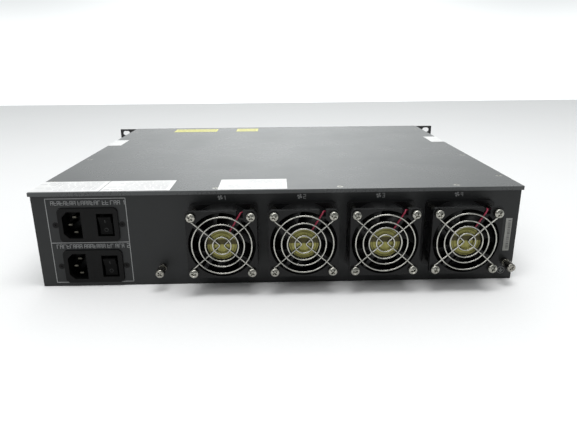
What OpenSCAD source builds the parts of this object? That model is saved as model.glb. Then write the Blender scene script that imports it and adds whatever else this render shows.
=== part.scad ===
// Two-unit rack-mount uninterruptible power supply with two switched mains inlets and four fans.
// X runs across the rack, Y from the front panel to the rear panel, Z up.
// The origin is at the centre of the outline, on the plane that the case rests on.

/* [Enclosure] */
// Width over the base tray
base_w = 430; // [426:1:432]
// Overall height, labels included
total_h = 88.9; // [88:0.1:90]
// Distance from the rear face of the ears to the outer face of the rear panel
case_depth = 372; // [366:1:400]
// Thickness of the tray and rear panel sheet
sheet = 1.5; // [1.2:0.1:1.8]
// Thickness of the top cover sheet
cover_sheet = 1.2; // [1:0.1:1.5]
// Overhang of the cover beyond each side of the tray
cover_overhang = 1.5; // [1.5:0.1:2]
// Height of the cover's turned-down lip
cover_lip = 3.5; // [3:0.1:4]

/* [Rack ears] */
// Width over both ears
rack_w = 482.6; // [482:0.1:483]
// Thickness of the ears and of the front panel
ear_t = 2; // [1.8:0.1:2.5]
// Spacing of the rack slots across the rack
slot_span_x = 465.1; // [464:0.1:466]
// Spacing of the rack slots up the rack
slot_span_z = 76.2; // [76:0.1:76.4]
// Width of a rack slot
slot_w = 6.8; // [6.5:0.1:7]
// Overall length of a rack slot
slot_len = 10.3; // [9:0.1:11]

/* [Fans] */
// Side of the square fan frame
fan_size = 60; // [59.5:0.1:60.5]
// Depth of the fan frame
fan_depth = 25; // [24.5:0.1:25.5]
// Spacing of the fan's screw holes
fan_hole_span = 50; // [49.8:0.1:50.2]
// Distance between neighbouring fans
fan_pitch = 69.5; // [69:0.1:70]
// Centre of the first fan across the rear panel
fan_first_x = 48.2; // [47:0.1:50]
// Height of the fan centres
fan_z = 46.9; // [46:0.1:48]
// Number of blades on a rotor
blade_count = 7; // [5:1:9]
// Thickness of the finger guard's wire
guard_wire = 1.3; // [1.1:0.1:1.6]

/* [Mains inlets] */
// Centre of both inlets across the rear panel
inlet_x = 167.3; // [166:0.1:168]
// Height of the upper inlet's centre
inlet_upper_z = 58.6; // [58:0.1:59]
// Height of the lower inlet's centre
inlet_lower_z = 19.4; // [19:0.1:20]
// Width of the inlet's bezel
inlet_w = 52.5; // [52:0.1:53]
// Height of the inlet's bezel
inlet_h = 31.2; // [30:0.1:32]
// Swing of a switch rocker between off and on
rocker_swing = 24; // [20:1:26]

/* [Thumbscrews] */
// Position of the left thumbscrew across the rear panel
thumb_left_x = 105; // [103:0.5:107]
// Position of the right thumbscrew across the rear panel
thumb_right_x = -207; // [-208:0.5:-206]
// Height of the thumbscrews
thumb_z = 17.5; // [17:0.1:18]
// Radius over the knurl
thumb_r = 3.8; // [3.5:0.1:4]

/* [Front panel] */
// Number of slots in each row of front vents
vent_count = 26; // [20:1:26]
// Width of a vent slot
vent_w = 3; // [2:0.1:3.5]

/* [Hidden] */
$fn = 48;
eps = 0.01;
gap = 0.1;
label_t = 0.15;
cover_top = total_h - label_t;
cover_under = cover_top - cover_sheet;
cover_w = base_w + 2 * cover_overhang;
wall_in = base_w / 2 - sheet;
flange_w = 14;
flange_top = cover_under - gap;

// Along Y: the front reach is the furthest control, the rear reach the fan screw heads.
screw_head_h = 2.9;
front_reach = case_depth + ear_t + 4;
rear_reach = fan_depth + guard_wire + screw_head_h;
rear_y = (front_reach - rear_reach) / 2;
ear_y = rear_y - case_depth;
front_y = ear_y - ear_t;
tray_end = rear_y - sheet;

fan_count = 4;
fan_centres = [for (i = [0 : fan_count - 1]) fan_first_x - i * fan_pitch];
fan_bore_r = 28.7;
fan_barrel_r = 31.3;
fan_flange_t = 4;
fan_corner = fan_hole_span / 2;
hub_r = 13.5;
hub_base_y = fan_depth - 3.5;
shaft_r = 1.5;
fan_screw_clear_r = 2.2;
lead_hole = [-27.6, 16.9];
lead_notch = [-18.5, -13];
lead_r = 0.7;

cover_tap_r = 1.55;
cover_screw_side_x = base_w / 2 - 5;
cover_screw_rows = [39, 140, 241, 342];
cover_screw_rear_x = [-159, -55, 55, 159];
ear_screw_y = [10, 22];
ear_screw_z = [22, 66];
ear_leg = 32;

inlet_z = [inlet_upper_z, inlet_lower_z];
bezel_proud = 1.6;
socket_dx = 14.2;
socket_depth = 17;
pin_gap = 14;
rocker_dx = -14.9;
rocker_pivot_y = -2.5;
rocker_half = 8.6;
rocker_w = 10.8;
inlet_screw_dx = 29.2;
inlet_body_d = 36;

thumb_x = [thumb_left_x, thumb_right_x];
thread_r = 2;
ferrule_r = 3.5;
ferrule_h = 4.5;
thumb_face_y = 17.5;

display_pos = [-150, 56];
button_z = 27;
button_x = [-176, -124];
power_pos = [-196, 56];
led_x = -104;
led_z = [66, 59.5, 53, 46.5];
terminal_pos = [180, 44];

battery_size = [94, 151, 65];
battery_gap = 1;
battery_y = ear_y + 26;
battery_z = 4;
board_z = 10;
board_size = [300, 150, 1.6];
board_centre = [-55, rear_y - 110];

// ---- Shared shapes ----

// A flat outline with round corners.
module rounded_outline(w, h, r) {
    square([w - 2 * r, h], center = true);
    square([w, h - 2 * r], center = true);
    for (sx = [-1, 1], sz = [-1, 1])
        translate([sx * (w / 2 - r), sz * (h / 2 - r)])
            circle(r);
}

// A slot with round ends, its length along the first axis.
module slot_outline(length, width) {
    square([length - width, width], center = true);
    for (s = [-1, 1])
        translate([s * (length - width) / 2, 0])
            circle(d = width);
}

// Extrudes an XZ outline towards the rear from y0 to y1.
module along_y(y0, y1) {
    translate([0, y1, 0])
        rotate([90, 0, 0])
            linear_extrude(y1 - y0)
                children();
}

// A cylinder along Y from y0 to y1.
module rod_y(y0, y1, r0, r1) {
    translate([0, y0, 0])
        rotate([-90, 0, 0])
            cylinder(h = y1 - y0, r1 = r0, r2 = r1);
}

// A box given by its two opposite corners.
module box_between(a, b) {
    translate(a)
        cube(b - a);
}

// A straight round wire between two points.
module wire(a, b, r) {
    d = b - a;
    len = norm(d);
    translate(a)
        rotate([0, acos(d[2] / len), atan2(d[1], d[0])])
            cylinder(h = len, r = r, $fn = 24);
}

function unit(v) = v / norm(v);
function ring_points(p, t, r, n) =
    let (
        side = unit(cross(t, abs(t[2]) > 0.9 ? [1, 0, 0] : [0, 0, 1])),
        up = cross(side, t)
    )
    [for (k = [0 : n - 1]) p + r * (cos(360 * k / n) * side + sin(360 * k / n) * up)];

// A tube swept through a list of points.
module tube(points, r, n = 8) {
    last = len(points) - 1;
    tangents = [for (i = [0 : last]) unit(points[min(i + 1, last)] - points[max(i - 1, 0)])];
    rings = [for (i = [0 : last]) each ring_points(points[i], tangents[i], r, n)];
    sides = [
        for (i = [0 : last - 1], k = [0 : n - 1])
            [i * n + k, i * n + (k + 1) % n, (i + 1) * n + (k + 1) % n, (i + 1) * n + k]
    ];
    start_cap = [for (k = [0 : n - 1]) n - 1 - k];
    end_cap = [for (k = [0 : n - 1]) last * n + k];
    polyhedron(rings, concat(sides, [start_cap, end_cap]), convexity = 6);
}

// ---- Case ----

module cover_screw_places() {
    for (sx = [-1, 1], d = cover_screw_rows)
        translate([sx * cover_screw_side_x, rear_y - d, 0])
            children();
    for (x = cover_screw_rear_x)
        translate([x, rear_y - 6.5, 0])
            children();
}

module ear_screw_places(side) {
    for (dy = ear_screw_y, z = ear_screw_z)
        translate([side * base_w / 2, ear_y + dy, z])
            children();
}

module base_tray() {
    lip_x = base_w / 2 - 12;
    tab_y = tray_end - sheet;
    tab_half = 11;
    tab_top = 28;
    boss_r = 4;
    boss_len = 2.8;
    color([0.10, 0.10, 0.11])
    difference() {
        union() {
            box_between([-base_w / 2, ear_y, 0], [base_w / 2, tray_end, sheet]);
            for (side = [-1, 1])
                scale_x(side) {
                    box_between([wall_in, ear_y, 0], [base_w / 2, tray_end, flange_top]);
                    box_between([base_w / 2 - flange_w, ear_y + 1, flange_top - sheet],
                                [base_w / 2, tray_end, flange_top]);
                    box_between([lip_x, tab_y, 0], [base_w / 2, tray_end, flange_top]);
                }
            box_between([thumb_x[0] - tab_half, tab_y, 0],
                        [thumb_x[0] + tab_half, tray_end, tab_top]);
            for (x = thumb_x)
                translate([x, 0, thumb_z])
                    rod_y(tab_y - boss_len, tab_y + eps, boss_r, boss_r);
        }
        for (x = thumb_x)
            translate([x, 0, thumb_z])
                rod_y(tab_y - 4, tray_end + 1, thread_r + 0.05, thread_r + 0.05);
        cover_screw_places()
            cylinder(h = total_h, r = cover_tap_r);
        for (side = [-1, 1])
            ear_screw_places(side)
                rotate([0, 90, 0])
                    cylinder(h = 3 * sheet, r = 2.05, center = true);
    }
}

// Mirrors its children to the given side of the case.
module scale_x(side) {
    mirror([side < 0 ? 1 : 0, 0, 0])
        children();
}

module rear_panel() {
    top_flange_x = base_w / 2 - flange_w - 1;
    color([0.13, 0.13, 0.14])
    difference() {
        union() {
            box_between([-base_w / 2, tray_end + gap, 0], [base_w / 2, rear_y, flange_top]);
            box_between([-top_flange_x, rear_y - 13, flange_top - sheet],
                        [top_flange_x, rear_y, flange_top]);
        }
        for (x = fan_centres)
            translate([x, 0, fan_z]) {
                rod_y(tray_end - 1, rear_y + 1, fan_bore_r, fan_bore_r);
                for (sx = [-1, 1], sz = [-1, 1])
                    translate([sx * fan_corner, 0, sz * fan_corner])
                        rod_y(tray_end - 1, rear_y + 1, fan_screw_clear_r, fan_screw_clear_r);
                translate([lead_hole[0], 0, lead_hole[1]])
                    rod_y(tray_end - 1, rear_y + 1, 1.3, 1.3);
            }
        for (z = inlet_z)
            translate([inlet_x, 0, z]) {
                along_y(tray_end - 1, rear_y + 1)
                    rounded_outline(inlet_w + 0.2, inlet_h + 0.2, 4);
                for (s = [-1, 1])
                    translate([s * inlet_screw_dx, 0, 0]) {
                        rod_y(tray_end - 1, rear_y + 1, 1.6, 1.6);
                        rod_y(rear_y - 1.3, rear_y + eps, 1.6, 2.9);
                    }
            }
        for (x = thumb_x)
            translate([x, 0, thumb_z])
                rod_y(tray_end - 1, rear_y + 1, 3, 3);
        cover_screw_places()
            cylinder(h = total_h, r = cover_tap_r);
    }
}

module vent_places() {
    pitch = 8.8;
    for (i = [0 : vent_count - 1], row = [-1, 1])
        translate([(i - (vent_count - 1) / 2) * pitch + 28, 0, total_h / 2 + row * 16])
            children();
}

module front_panel() {
    inner_x = wall_in - gap;
    flange_x = base_w / 2 - flange_w - 1;
    color([0.13, 0.13, 0.14])
    difference() {
        union() {
            box_between([-base_w / 2 + gap, front_y, 0], [base_w / 2 - gap, ear_y, cover_top]);
            for (side = [-1, 1])
                scale_x(side)
                    box_between([inner_x - 1.2, ear_y - eps, 4], [inner_x, ear_y + ear_leg, 80]);
            box_between([-flange_x, ear_y - eps, flange_top - 1.2],
                        [flange_x, ear_y + 12, flange_top]);
        }
        vent_places()
            along_y(front_y - 1, ear_y + 1)
                rotate(90)
                    slot_outline(25, vent_w);
        translate([display_pos[0], 0, display_pos[1]])
            along_y(front_y - 1, ear_y + 1)
                rounded_outline(62.2, 26.2, 1.5);
        for (x = button_x)
            translate([x, 0, button_z])
                rod_y(front_y - 1, ear_y + 1, 4.3, 4.3);
        translate([power_pos[0], 0, power_pos[1]])
            rod_y(front_y - 1, ear_y + 1, 8.3, 8.3);
        for (z = led_z)
            translate([led_x, 0, z])
                rod_y(front_y - 1, ear_y + 1, 1.55, 1.55);
        translate([terminal_pos[0], 0, terminal_pos[1]])
            along_y(front_y - 1, ear_y + 1)
                square([44.2, 24.2], center = true);
        for (side = [-1, 1])
            ear_screw_places(side)
                rotate([0, 90, 0])
                    cylinder(h = 12, r = 2.05, center = true);
    }
}

module top_cover() {
    outer = cover_w / 2;
    rear_edge = rear_y + cover_overhang;
    lip_z = cover_top - cover_lip;
    color([0.16, 0.16, 0.17])
    difference() {
        union() {
            box_between([-outer, ear_y + 0.1, cover_under], [outer, rear_edge, cover_top]);
            for (side = [-1, 1])
                scale_x(side)
                    box_between([outer - cover_sheet, ear_y + 0.1, lip_z],
                                [outer, rear_edge, cover_top]);
            box_between([-outer, rear_edge - cover_sheet, lip_z], [outer, rear_edge, cover_top]);
        }
        cover_screw_places() {
            translate([0, 0, cover_under - 1])
                cylinder(h = 4, r = 1.7);
            translate([0, 0, cover_under])
                cylinder(h = cover_sheet + eps, r1 = 1.7, r2 = 3.05);
        }
    }
}

module rack_ear(side) {
    leg_top = cover_top - cover_lip - 1;
    ear_h = 88.1;
    slot_x = slot_span_x / 2;
    color([0.09, 0.09, 0.10])
    scale_x(side)
    difference() {
        union() {
            box_between([base_w / 2, front_y, (total_h - ear_h) / 2],
                        [rack_w / 2, ear_y, (total_h + ear_h) / 2]);
            box_between([base_w / 2, ear_y - eps, (total_h - ear_h) / 2],
                        [base_w / 2 + ear_t, ear_y + ear_leg, leg_top]);
        }
        for (s = [-1, 1])
            translate([slot_x, 0, total_h / 2 + s * slot_span_z / 2])
                along_y(front_y - 1, ear_y + 1)
                    slot_outline(slot_len, slot_w);
        ear_screw_places(1)
            rotate([0, 90, 0])
                cylinder(h = 12, r = 2.25, center = true);
    }
}

module rack_ear_left() { rack_ear(1); }
module rack_ear_right() { rack_ear(-1); }

// Flat-head screws, flush with the cover.
module cover_screws() {
    head_top = cover_top - 0.1;
    color([0.75, 0.75, 0.76])
    cover_screw_places()
        difference() {
            union() {
                translate([0, 0, cover_under])
                    cylinder(h = head_top - cover_under, r1 = 1.5, r2 = 2.9);
                translate([0, 0, cover_under - 5])
                    cylinder(h = 5 + eps, r = 1.5);
            }
            translate([0, 0, head_top])
                cross_recess(2.6, 0.5, 0.9);
        }
}

// The cross-shaped driver recess, cut downwards from the origin.
module cross_recess(span, width, depth) {
    for (a = [0, 90])
        rotate(a)
            cube([span, width, 2 * depth], center = true);
}

module ear_screws() {
    color([0.70, 0.70, 0.71])
    for (side = [-1, 1])
        scale_x(side)
            ear_screw_places(1)
                rotate([0, 90, 0])
                    translate([0, 0, ear_t])
                        pan_screw(8, 3.7, 2.2);
}

// A domed screw whose head sits on the origin and points up, its shank reaching down.
module pan_screw(reach, head_r, head_h) {
    difference() {
        union() {
            cylinder(h = head_h * 0.45, r = head_r);
            translate([0, 0, head_h * 0.45 - eps])
                cylinder(h = head_h * 0.55, r1 = head_r, r2 = head_r * 0.62);
            translate([0, 0, -reach])
                cylinder(h = reach + eps, r = 2);
        }
        translate([0, 0, head_h])
            cross_recess(head_r * 1.15, 0.9, head_h * 0.55);
    }
}

// ---- Fans ----

module at_fan(i) {
    translate([fan_centres[i], rear_y, fan_z])
        children();
}

module fan_corners() {
    for (sx = [-1, 1], sz = [-1, 1])
        translate([sx * fan_corner, 0, sz * fan_corner])
            children();
}

module fan_frame(i) {
    strut_w = 3.2;
    color([0.06, 0.06, 0.06])
    at_fan(i) {
        difference() {
            union() {
                along_y(0, fan_flange_t)
                    rounded_outline(fan_size, fan_size, 3.5);
                along_y(fan_depth - fan_flange_t, fan_depth)
                    rounded_outline(fan_size, fan_size, 3.5);
                along_y(fan_flange_t - eps, fan_depth - fan_flange_t + eps)
                    intersection() {
                        circle(fan_barrel_r);
                        square(fan_size, center = true);
                    }
            }
            rod_y(-1, fan_depth + 1, fan_bore_r, fan_bore_r);
            fan_corners()
                rod_y(-1, fan_depth + 1, fan_screw_clear_r, fan_screw_clear_r);
            translate([lead_hole[0], 0, lead_hole[1]])
                rod_y(-1, fan_flange_t + 1, lead_r + 0.3, lead_r + 0.3);
            box_between([lead_notch[0], fan_depth - fan_flange_t - 1, 24],
                        [lead_notch[1], fan_depth + 1, fan_size]);
        }
        difference() {
            union() {
                rod_y(hub_base_y, fan_depth - 0.5, hub_r, hub_r);
                rod_y(8, hub_base_y + eps, 3.2, 3.2);
                for (a = [54, 144, 234, 324])
                    rotate([0, a, 0])
                        box_between([hub_r - 1, hub_base_y - 0.8, -strut_w / 2],
                                    [fan_bore_r + 0.6, fan_depth - 1.8, strut_w / 2]);
            }
            rod_y(7, hub_base_y, shaft_r + 0.05, shaft_r + 0.05);
        }
    }
}

module fan_1_frame() { fan_frame(0); }
module fan_2_frame() { fan_frame(1); }
module fan_3_frame() { fan_frame(2); }
module fan_4_frame() { fan_frame(3); }

// The cup, shaft and pitched blades, 0.8 mm clear of the frame's bore.
module fan_rotor(i) {
    cup_back = 3;
    cup_end = 18.5;
    blade_tip = fan_bore_r - 0.8;
    blade_pitch = 40;
    color([0.08, 0.08, 0.08])
    at_fan(i) {
        difference() {
            rod_y(cup_back, cup_end, hub_r - 0.3, hub_r - 0.3);
            rod_y(cup_back + 1.4, cup_end + 1, hub_r - 1.3, hub_r - 1.3);
        }
        rod_y(cup_back + 1, hub_base_y - 0.6, shaft_r, shaft_r);
        intersection() {
            difference() {
                rod_y(cup_back, cup_end, blade_tip, blade_tip);
                rod_y(cup_back - 1, cup_end + 1, hub_r - 0.8, hub_r - 0.8);
            }
            for (k = [0 : blade_count - 1])
                rotate([0, k * 360 / blade_count, 0])
                    translate([0, (cup_back + cup_end) / 2, 0])
                        rotate([blade_pitch, 0, 0])
                            translate([hub_r - 2, -10, -0.6])
                                cube([blade_tip, 20, 1.2]);
        }
    }
}

module fan_1_rotor() { fan_rotor(0); }
module fan_2_rotor() { fan_rotor(1); }
module fan_3_rotor() { fan_rotor(2); }
module fan_4_rotor() { fan_rotor(3); }

// Four welded rings on two V-bent spokes whose ends loop round the screws.
module fan_guard(i) {
    w = guard_wire / 2;
    spoke_y = fan_depth + w;
    ring_y = spoke_y + 0.9;
    eye_r = 2.9;
    apex_x = 1.7;
    color([0.86, 0.86, 0.84])
    at_fan(i) {
        for (r = [7.7, 14, 19, 25.4])
            translate([0, ring_y, 0])
                rotate([90, 0, 0])
                    rotate_extrude()
                        translate([r, 0])
                            circle(w, $fn = 16);
        fan_corners()
            translate([0, spoke_y, 0])
                rotate([90, 0, 0])
                    rotate_extrude()
                        translate([eye_r, 0])
                            circle(w, $fn = 16);
        for (sx = [-1, 1], sz = [-1, 1])
            wire([sx * apex_x, spoke_y, 0],
                 [sx * (fan_corner - eye_r * 0.7), spoke_y, sz * (fan_corner - eye_r * 0.7)], w);
        for (sx = [-1, 1])
            translate([sx * apex_x, spoke_y, 0])
                sphere(w, $fn = 24);
    }
}

module fan_1_guard() { fan_guard(0); }
module fan_2_guard() { fan_guard(1); }
module fan_3_guard() { fan_guard(2); }
module fan_4_guard() { fan_guard(3); }

// Laminated pole pieces with their windings and driver board, one set inside each hub.
module fan_stators() {
    color([0.72, 0.42, 0.20])
    for (i = [0 : fan_count - 1])
        at_fan(i) {
            difference() {
                union() {
                    rod_y(9.5, 16.5, 6, 6);
                    for (a = [0 : 90 : 270])
                        rotate([0, a + 45, 0]) {
                            box_between([3.5, 10, -2.2], [9, 16, 2.2]);
                            box_between([8.4, 9.5, -4.4], [10.6, 16.5, 4.4]);
                        }
                }
                rod_y(8, 19, 3.25, 3.25);
            }
            difference() {
                rod_y(19.2, 20.4, 11.2, 11.2);
                rod_y(19, 21, 3.25, 3.25);
            }
        }
}

module fan_hub_labels() {
    color([0.62, 0.58, 0.28])
    for (i = [0 : fan_count - 1])
        at_fan(i)
            rod_y(fan_depth - 0.5, fan_depth - 0.3, 12.7, 12.7);
}

// Each lead leaves the hub, drops through the outer flange's notch, follows the barrel down
// behind the corner screw and enters the case.
lead_route = [
    [-6.9, 24.2, 11.9], [-8.2, 24.2, 14], [-11, 24.2, 18.7], [-13.5, 24.3, 23],
    [-15.5, 24, 26.2], [-16.4, 22.8, 27.3], [-17.2, 20.5, 27.3], [-18.1, 18.5, 26.8],
    [-20.5, 17, 25], [-22.9, 15, 22.9], [-25, 13, 20.6], [-26.8, 10.5, 18.1],
    [-27.6, 7.5, 16.9], [-27.6, 4.5, 16.9], [-27.6, 0, 16.9], [-27.6, -5, 16.9],
    [-27, -10, 14], [-25.5, -14, 5], [-23, -16, -8], [-20, -20, -20], [-17, -28, -25.5],
    [-17, -35, -26.6], [-17, -39, -28], [-17, -39, -29.3]
];

module fan_leads() {
    color([0.55, 0.05, 0.12])
    for (i = [0 : fan_count - 1])
        at_fan(i)
            tube(lead_route, lead_r);
}

module fan_screws() {
    color([0.80, 0.80, 0.78])
    for (i = [0 : fan_count - 1])
        at_fan(i)
            fan_corners()
                rotate([-90, 0, 0])
                    translate([0, 0, fan_depth + guard_wire])
                        pan_screw(fan_depth + guard_wire + 6, 3.9, screw_head_h);
}

module fan_nuts() {
    nut_h = 3.2;
    color([0.70, 0.70, 0.70])
    for (i = [0 : fan_count - 1])
        at_fan(i)
            fan_corners()
                difference() {
                    translate([0, -sheet - nut_h, 0])
                        rotate([-90, 0, 0])
                            cylinder(h = nut_h, r = 4.04, $fn = 6);
                    rod_y(-10, 0, 2.05, 2.05);
                }
}

// ---- Mains inlets ----

module at_inlet(i) {
    translate([inlet_x, rear_y, inlet_z[i]])
        children();
}

// The mating outline of the inlet, its two bevelled corners on the earth pin's side.
module socket_outline(grow = 0) {
    w = 16.5 / 2 + grow;
    h = 24.5 / 2 + grow;
    bevel = 4.5;
    polygon([[-w, -h], [w - bevel, -h], [w, -h + bevel], [w, h - bevel], [w - bevel, h], [-w, h]]);
}

// Blade positions: line, neutral and earth, with the blades lying along X.
pin_places = [[-2, pin_gap / 2], [-2, -pin_gap / 2], [2.2, 0]];

module inlet_blades(grow) {
    for (p = pin_places)
        translate([socket_dx + p[0], 0, p[1]])
            box_between([-2 - grow, bezel_proud - socket_depth - 25 - grow, -1 - grow],
                        [2 + grow, bezel_proud - 2, 1 + grow]);
}

module inlet_socket(i) {
    recess_h = 20.8;
    recess_w = 14.6;
    color([0.03, 0.03, 0.03])
    at_inlet(i)
    difference() {
        union() {
            along_y(-sheet - eps, bezel_proud)
                rounded_outline(inlet_w, inlet_h, 4);
            box_between([-33, -sheet - 2.5, -13], [33, -sheet, 13]);
            box_between([-25, -inlet_body_d, -14], [25, -sheet - eps, 14]);
        }
        translate([socket_dx, 0, 0])
            along_y(bezel_proud - socket_depth, bezel_proud + 1)
                socket_outline();
        inlet_blades(0.05);
        translate([rocker_dx, 0, 0]) {
            box_between([-recess_w / 2, -9, -recess_h / 2],
                        [recess_w / 2, bezel_proud + 1, recess_h / 2]);
            translate([0, rocker_pivot_y, 0])
                rotate([0, 90, 0])
                    cylinder(h = recess_w + 3, r = 1.25, center = true);
        }
        for (s = [-1, 1])
            translate([s * inlet_screw_dx, 0, 0])
                rod_y(-10, 1, 1.55, 1.55);
    }
}

module inlet_1_socket() { inlet_socket(0); }
module inlet_2_socket() { inlet_socket(1); }

// Drawn in the off position, its upper end standing proud.
module inlet_rocker(i) {
    end_y = 4.4;
    mid_y = 2.6;
    color([0.04, 0.04, 0.04])
    at_inlet(i)
    translate([rocker_dx, rocker_pivot_y, 0]) {
        rotate([-rocker_swing / 2, 0, 0])
            rotate([0, -90, 0])
                linear_extrude(rocker_w, center = true)
                    polygon([[-rocker_half, end_y - 1.8], [-rocker_half, end_y],
                             [0, mid_y], [rocker_half, end_y], [rocker_half, end_y - 1.8],
                             [2.6, -3.4], [-2.6, -3.4]]);
        rotate([0, 90, 0])
            cylinder(h = 16.8, r = 1.2, center = true);
    }
}

module inlet_1_rocker() { inlet_rocker(0); }
module inlet_2_rocker() { inlet_rocker(1); }

module inlet_contacts() {
    color([0.78, 0.70, 0.45])
    for (i = [0, 1])
        at_inlet(i)
            inlet_blades(0);
}

module inlet_screws() {
    color([0.12, 0.12, 0.12])
    for (i = [0, 1], s = [-1, 1])
        at_inlet(i)
            translate([s * inlet_screw_dx, 0, 0])
                difference() {
                    union() {
                        rod_y(-1.3, -0.1, 1.5, 2.75);
                        rod_y(-8, -1.3 + eps, 1.5, 1.5);
                    }
                    rotate([-90, 0, 0])
                        cross_recess(2.6, 0.5, 0.9);
                }
}

// ---- Thumbscrews ----

module at_thumb(i) {
    translate([thumb_x[i], rear_y, thumb_z])
        children();
}

// A knurled outline: grooves follow a sine wave round the circle.
module knurl_outline(r, teeth, depth) {
    steps = teeth * 6;
    polygon([
        for (k = [0 : steps - 1])
            let (a = 360 * k / steps, d = r - depth / 2 + depth / 2 * cos(teeth * a))
            [d * cos(a), d * sin(a)]
    ]);
}

module thumbscrew(i) {
    head_y = 7.5;
    color([0.82, 0.80, 0.74])
    at_thumb(i)
    difference() {
        union() {
            along_y(head_y, thumb_face_y - 0.8)
                knurl_outline(thumb_r, 20, 0.6);
            rod_y(thumb_face_y - 0.8 - eps, thumb_face_y, thumb_r - 0.35, thumb_r - 1.1);
            rod_y(ferrule_h + 0.4, head_y + eps, 2.6, 2.6);
            rod_y(-2 * sheet - 2.7, ferrule_h + 1, thread_r, thread_r);
        }
        translate([0, thumb_face_y, 0])
            rotate([-90, 0, 0])
                cross_recess(4.2, 1, 1.6);
    }
}

module thumbscrew_left() { thumbscrew(0); }
module thumbscrew_right() { thumbscrew(1); }

// The retaining ring that keeps the screw in its ferrule.
module thumbscrew_clip(i) {
    color([0.45, 0.45, 0.46])
    at_thumb(i)
    difference() {
        rod_y(0.4, 1.0, 2.6, 2.6);
        rod_y(0, 2, thread_r + 0.04, thread_r + 0.04);
    }
}

module thumbscrew_left_clip() { thumbscrew_clip(0); }
module thumbscrew_right_clip() { thumbscrew_clip(1); }

module thumbscrew_ferrules() {
    color([0.78, 0.78, 0.76])
    for (i = [0, 1])
        at_thumb(i)
            difference() {
                union() {
                    rod_y(0, ferrule_h, ferrule_r, ferrule_r);
                    rod_y(-sheet, eps, 2.95, 2.95);
                }
                rod_y(-2, ferrule_h + 1, thread_r + 0.25, thread_r + 0.25);
                rod_y(0.1, ferrule_h - 0.5, 2.85, 2.85);
            }
}

// ---- Labels ----

module cover_labels() {
    label_x = [186.2, 124.8, 22.3];
    color([0.95, 0.95, 0.94])
    for (x = label_x)
        translate([x - 30.4, rear_y - 37, cover_top])
            cube([60.8, 36, label_t]);
}

module yellow_labels() {
    front_edge = rear_y - 361;
    color([0.93, 0.86, 0.20])
    for (span = [[89, 151.8], [28.4, 60.2]])
        translate([span[0], front_edge, cover_top])
            cube([span[1] - span[0], 26, label_t]);
}

// Seals folded over the cover's side lips.
module seal_labels() {
    color([0.94, 0.94, 0.92])
    for (side = [-1, 1])
        scale_x(side)
            difference() {
                box_between([200, rear_y - 268, cover_top - cover_lip],
                            [cover_w / 2 + label_t, rear_y - 227, cover_top + label_t]);
                box_between([199, rear_y - 269, 0], [cover_w / 2, rear_y - 226, cover_top]);
            }
}

module strip_label() {
    color([0.55, 0.55, 0.55])
    translate([-210, rear_y, 27.8])
        cube([5.6, label_t, 31]);
}

// ---- Front controls and output ----

module display_module() {
    color([0.10, 0.16, 0.30])
    translate([display_pos[0], 0, display_pos[1]]) {
        box_between([-36, ear_y + 4.8, -16], [36, ear_y + 6.4, 16]);
        box_between([-29, ear_y + 0.6, -11.5], [29, ear_y + 4.8, 11.5]);
    }
}

module display_window() {
    color([0.16, 0.20, 0.22, 0.6])
    translate([display_pos[0], 0, display_pos[1]])
        along_y(front_y + 0.2, ear_y + 0.5)
            rounded_outline(62, 26, 1.4);
}

// A round cap with a wider collar behind the panel.
module push_button(x, z, r, proud) {
    translate([x, 0, z]) {
        rod_y(front_y - proud, ear_y + 2.6, r, r);
        rod_y(ear_y + 0.35, ear_y + 1.4, r + 1, r + 1);
    }
}

module power_button() {
    color([0.75, 0.76, 0.78])
    push_button(power_pos[0], power_pos[1], 8, 2.4);
}

module menu_button() {
    color([0.55, 0.56, 0.58])
    push_button(button_x[0], button_z, 4, 1.8);
}

module mute_button() {
    color([0.55, 0.56, 0.58])
    push_button(button_x[1], button_z, 4, 1.8);
}

module status_leds() {
    color([0.25, 0.75, 0.35])
    for (z = led_z)
        translate([led_x, 0, z]) {
            rod_y(front_y - 0.6, ear_y + 3.5, 1.5, 1.5);
            rod_y(ear_y + 3.5 - eps, ear_y + 4.8, 2.2, 2.2);
        }
}

// A four-way barrier strip, open towards the front.
module output_terminal() {
    ways = 4;
    pitch = 10;
    color([0.05, 0.05, 0.06])
    translate([terminal_pos[0], 0, terminal_pos[1]]) {
        box_between([-22, ear_y, -12], [22, ear_y + 14, 12]);
        box_between([-22, front_y - 0.4, -12], [22, ear_y + 1, -8.5]);
        for (k = [0 : ways])
            translate([(k - ways / 2) * pitch, 0, 0])
                box_between([-1, front_y - 4, -12], [1, ear_y + 1, 12]);
    }
}

module output_terminal_screws() {
    color([0.80, 0.76, 0.60])
    for (k = [0 : 3])
        translate([terminal_pos[0] + (k - 1.5) * 10, ear_y, terminal_pos[1] + 1.5])
            rotate([90, 0, 0])
                difference() {
                    cylinder(h = 3.4, r = 3.2);
                    translate([0, 0, 3.4])
                        cross_recess(4, 0.8, 1.2);
                }
}

module control_board() {
    color([0.05, 0.30, 0.16])
    difference() {
        union() {
            box_between([-206, ear_y + 8, 14], [-96, ear_y + 9.6, 76]);
            for (p = [[power_pos[0], power_pos[1]], [button_x[0], button_z],
                      [button_x[1], button_z]])
                translate([p[0], 0, p[1]])
                    box_between([-3, ear_y + 5, -3], [3, ear_y + 8 + eps, 3]);
            box_between([-184, ear_y + 6.4, 44], [-116, ear_y + 8 + eps, 48]);
            for (z = led_z)
                translate([led_x, 0, z])
                    rod_y(ear_y + 5, ear_y + 8 + eps, 2.4, 2.4);
            box_between([-132, ear_y + 9.6 - eps, 54], [-116, ear_y + 12.4, 70]);
            box_between([-200, ear_y + 9.6 - eps, 20], [-160, ear_y + 18, 28]);
        }
        for (x = [-203, -99], z = [17, 73])
            translate([x, 0, z])
                rod_y(ear_y + 7, ear_y + 11, 1.6, 1.6);
    }
}

// ---- Power stage and batteries ----

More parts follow.
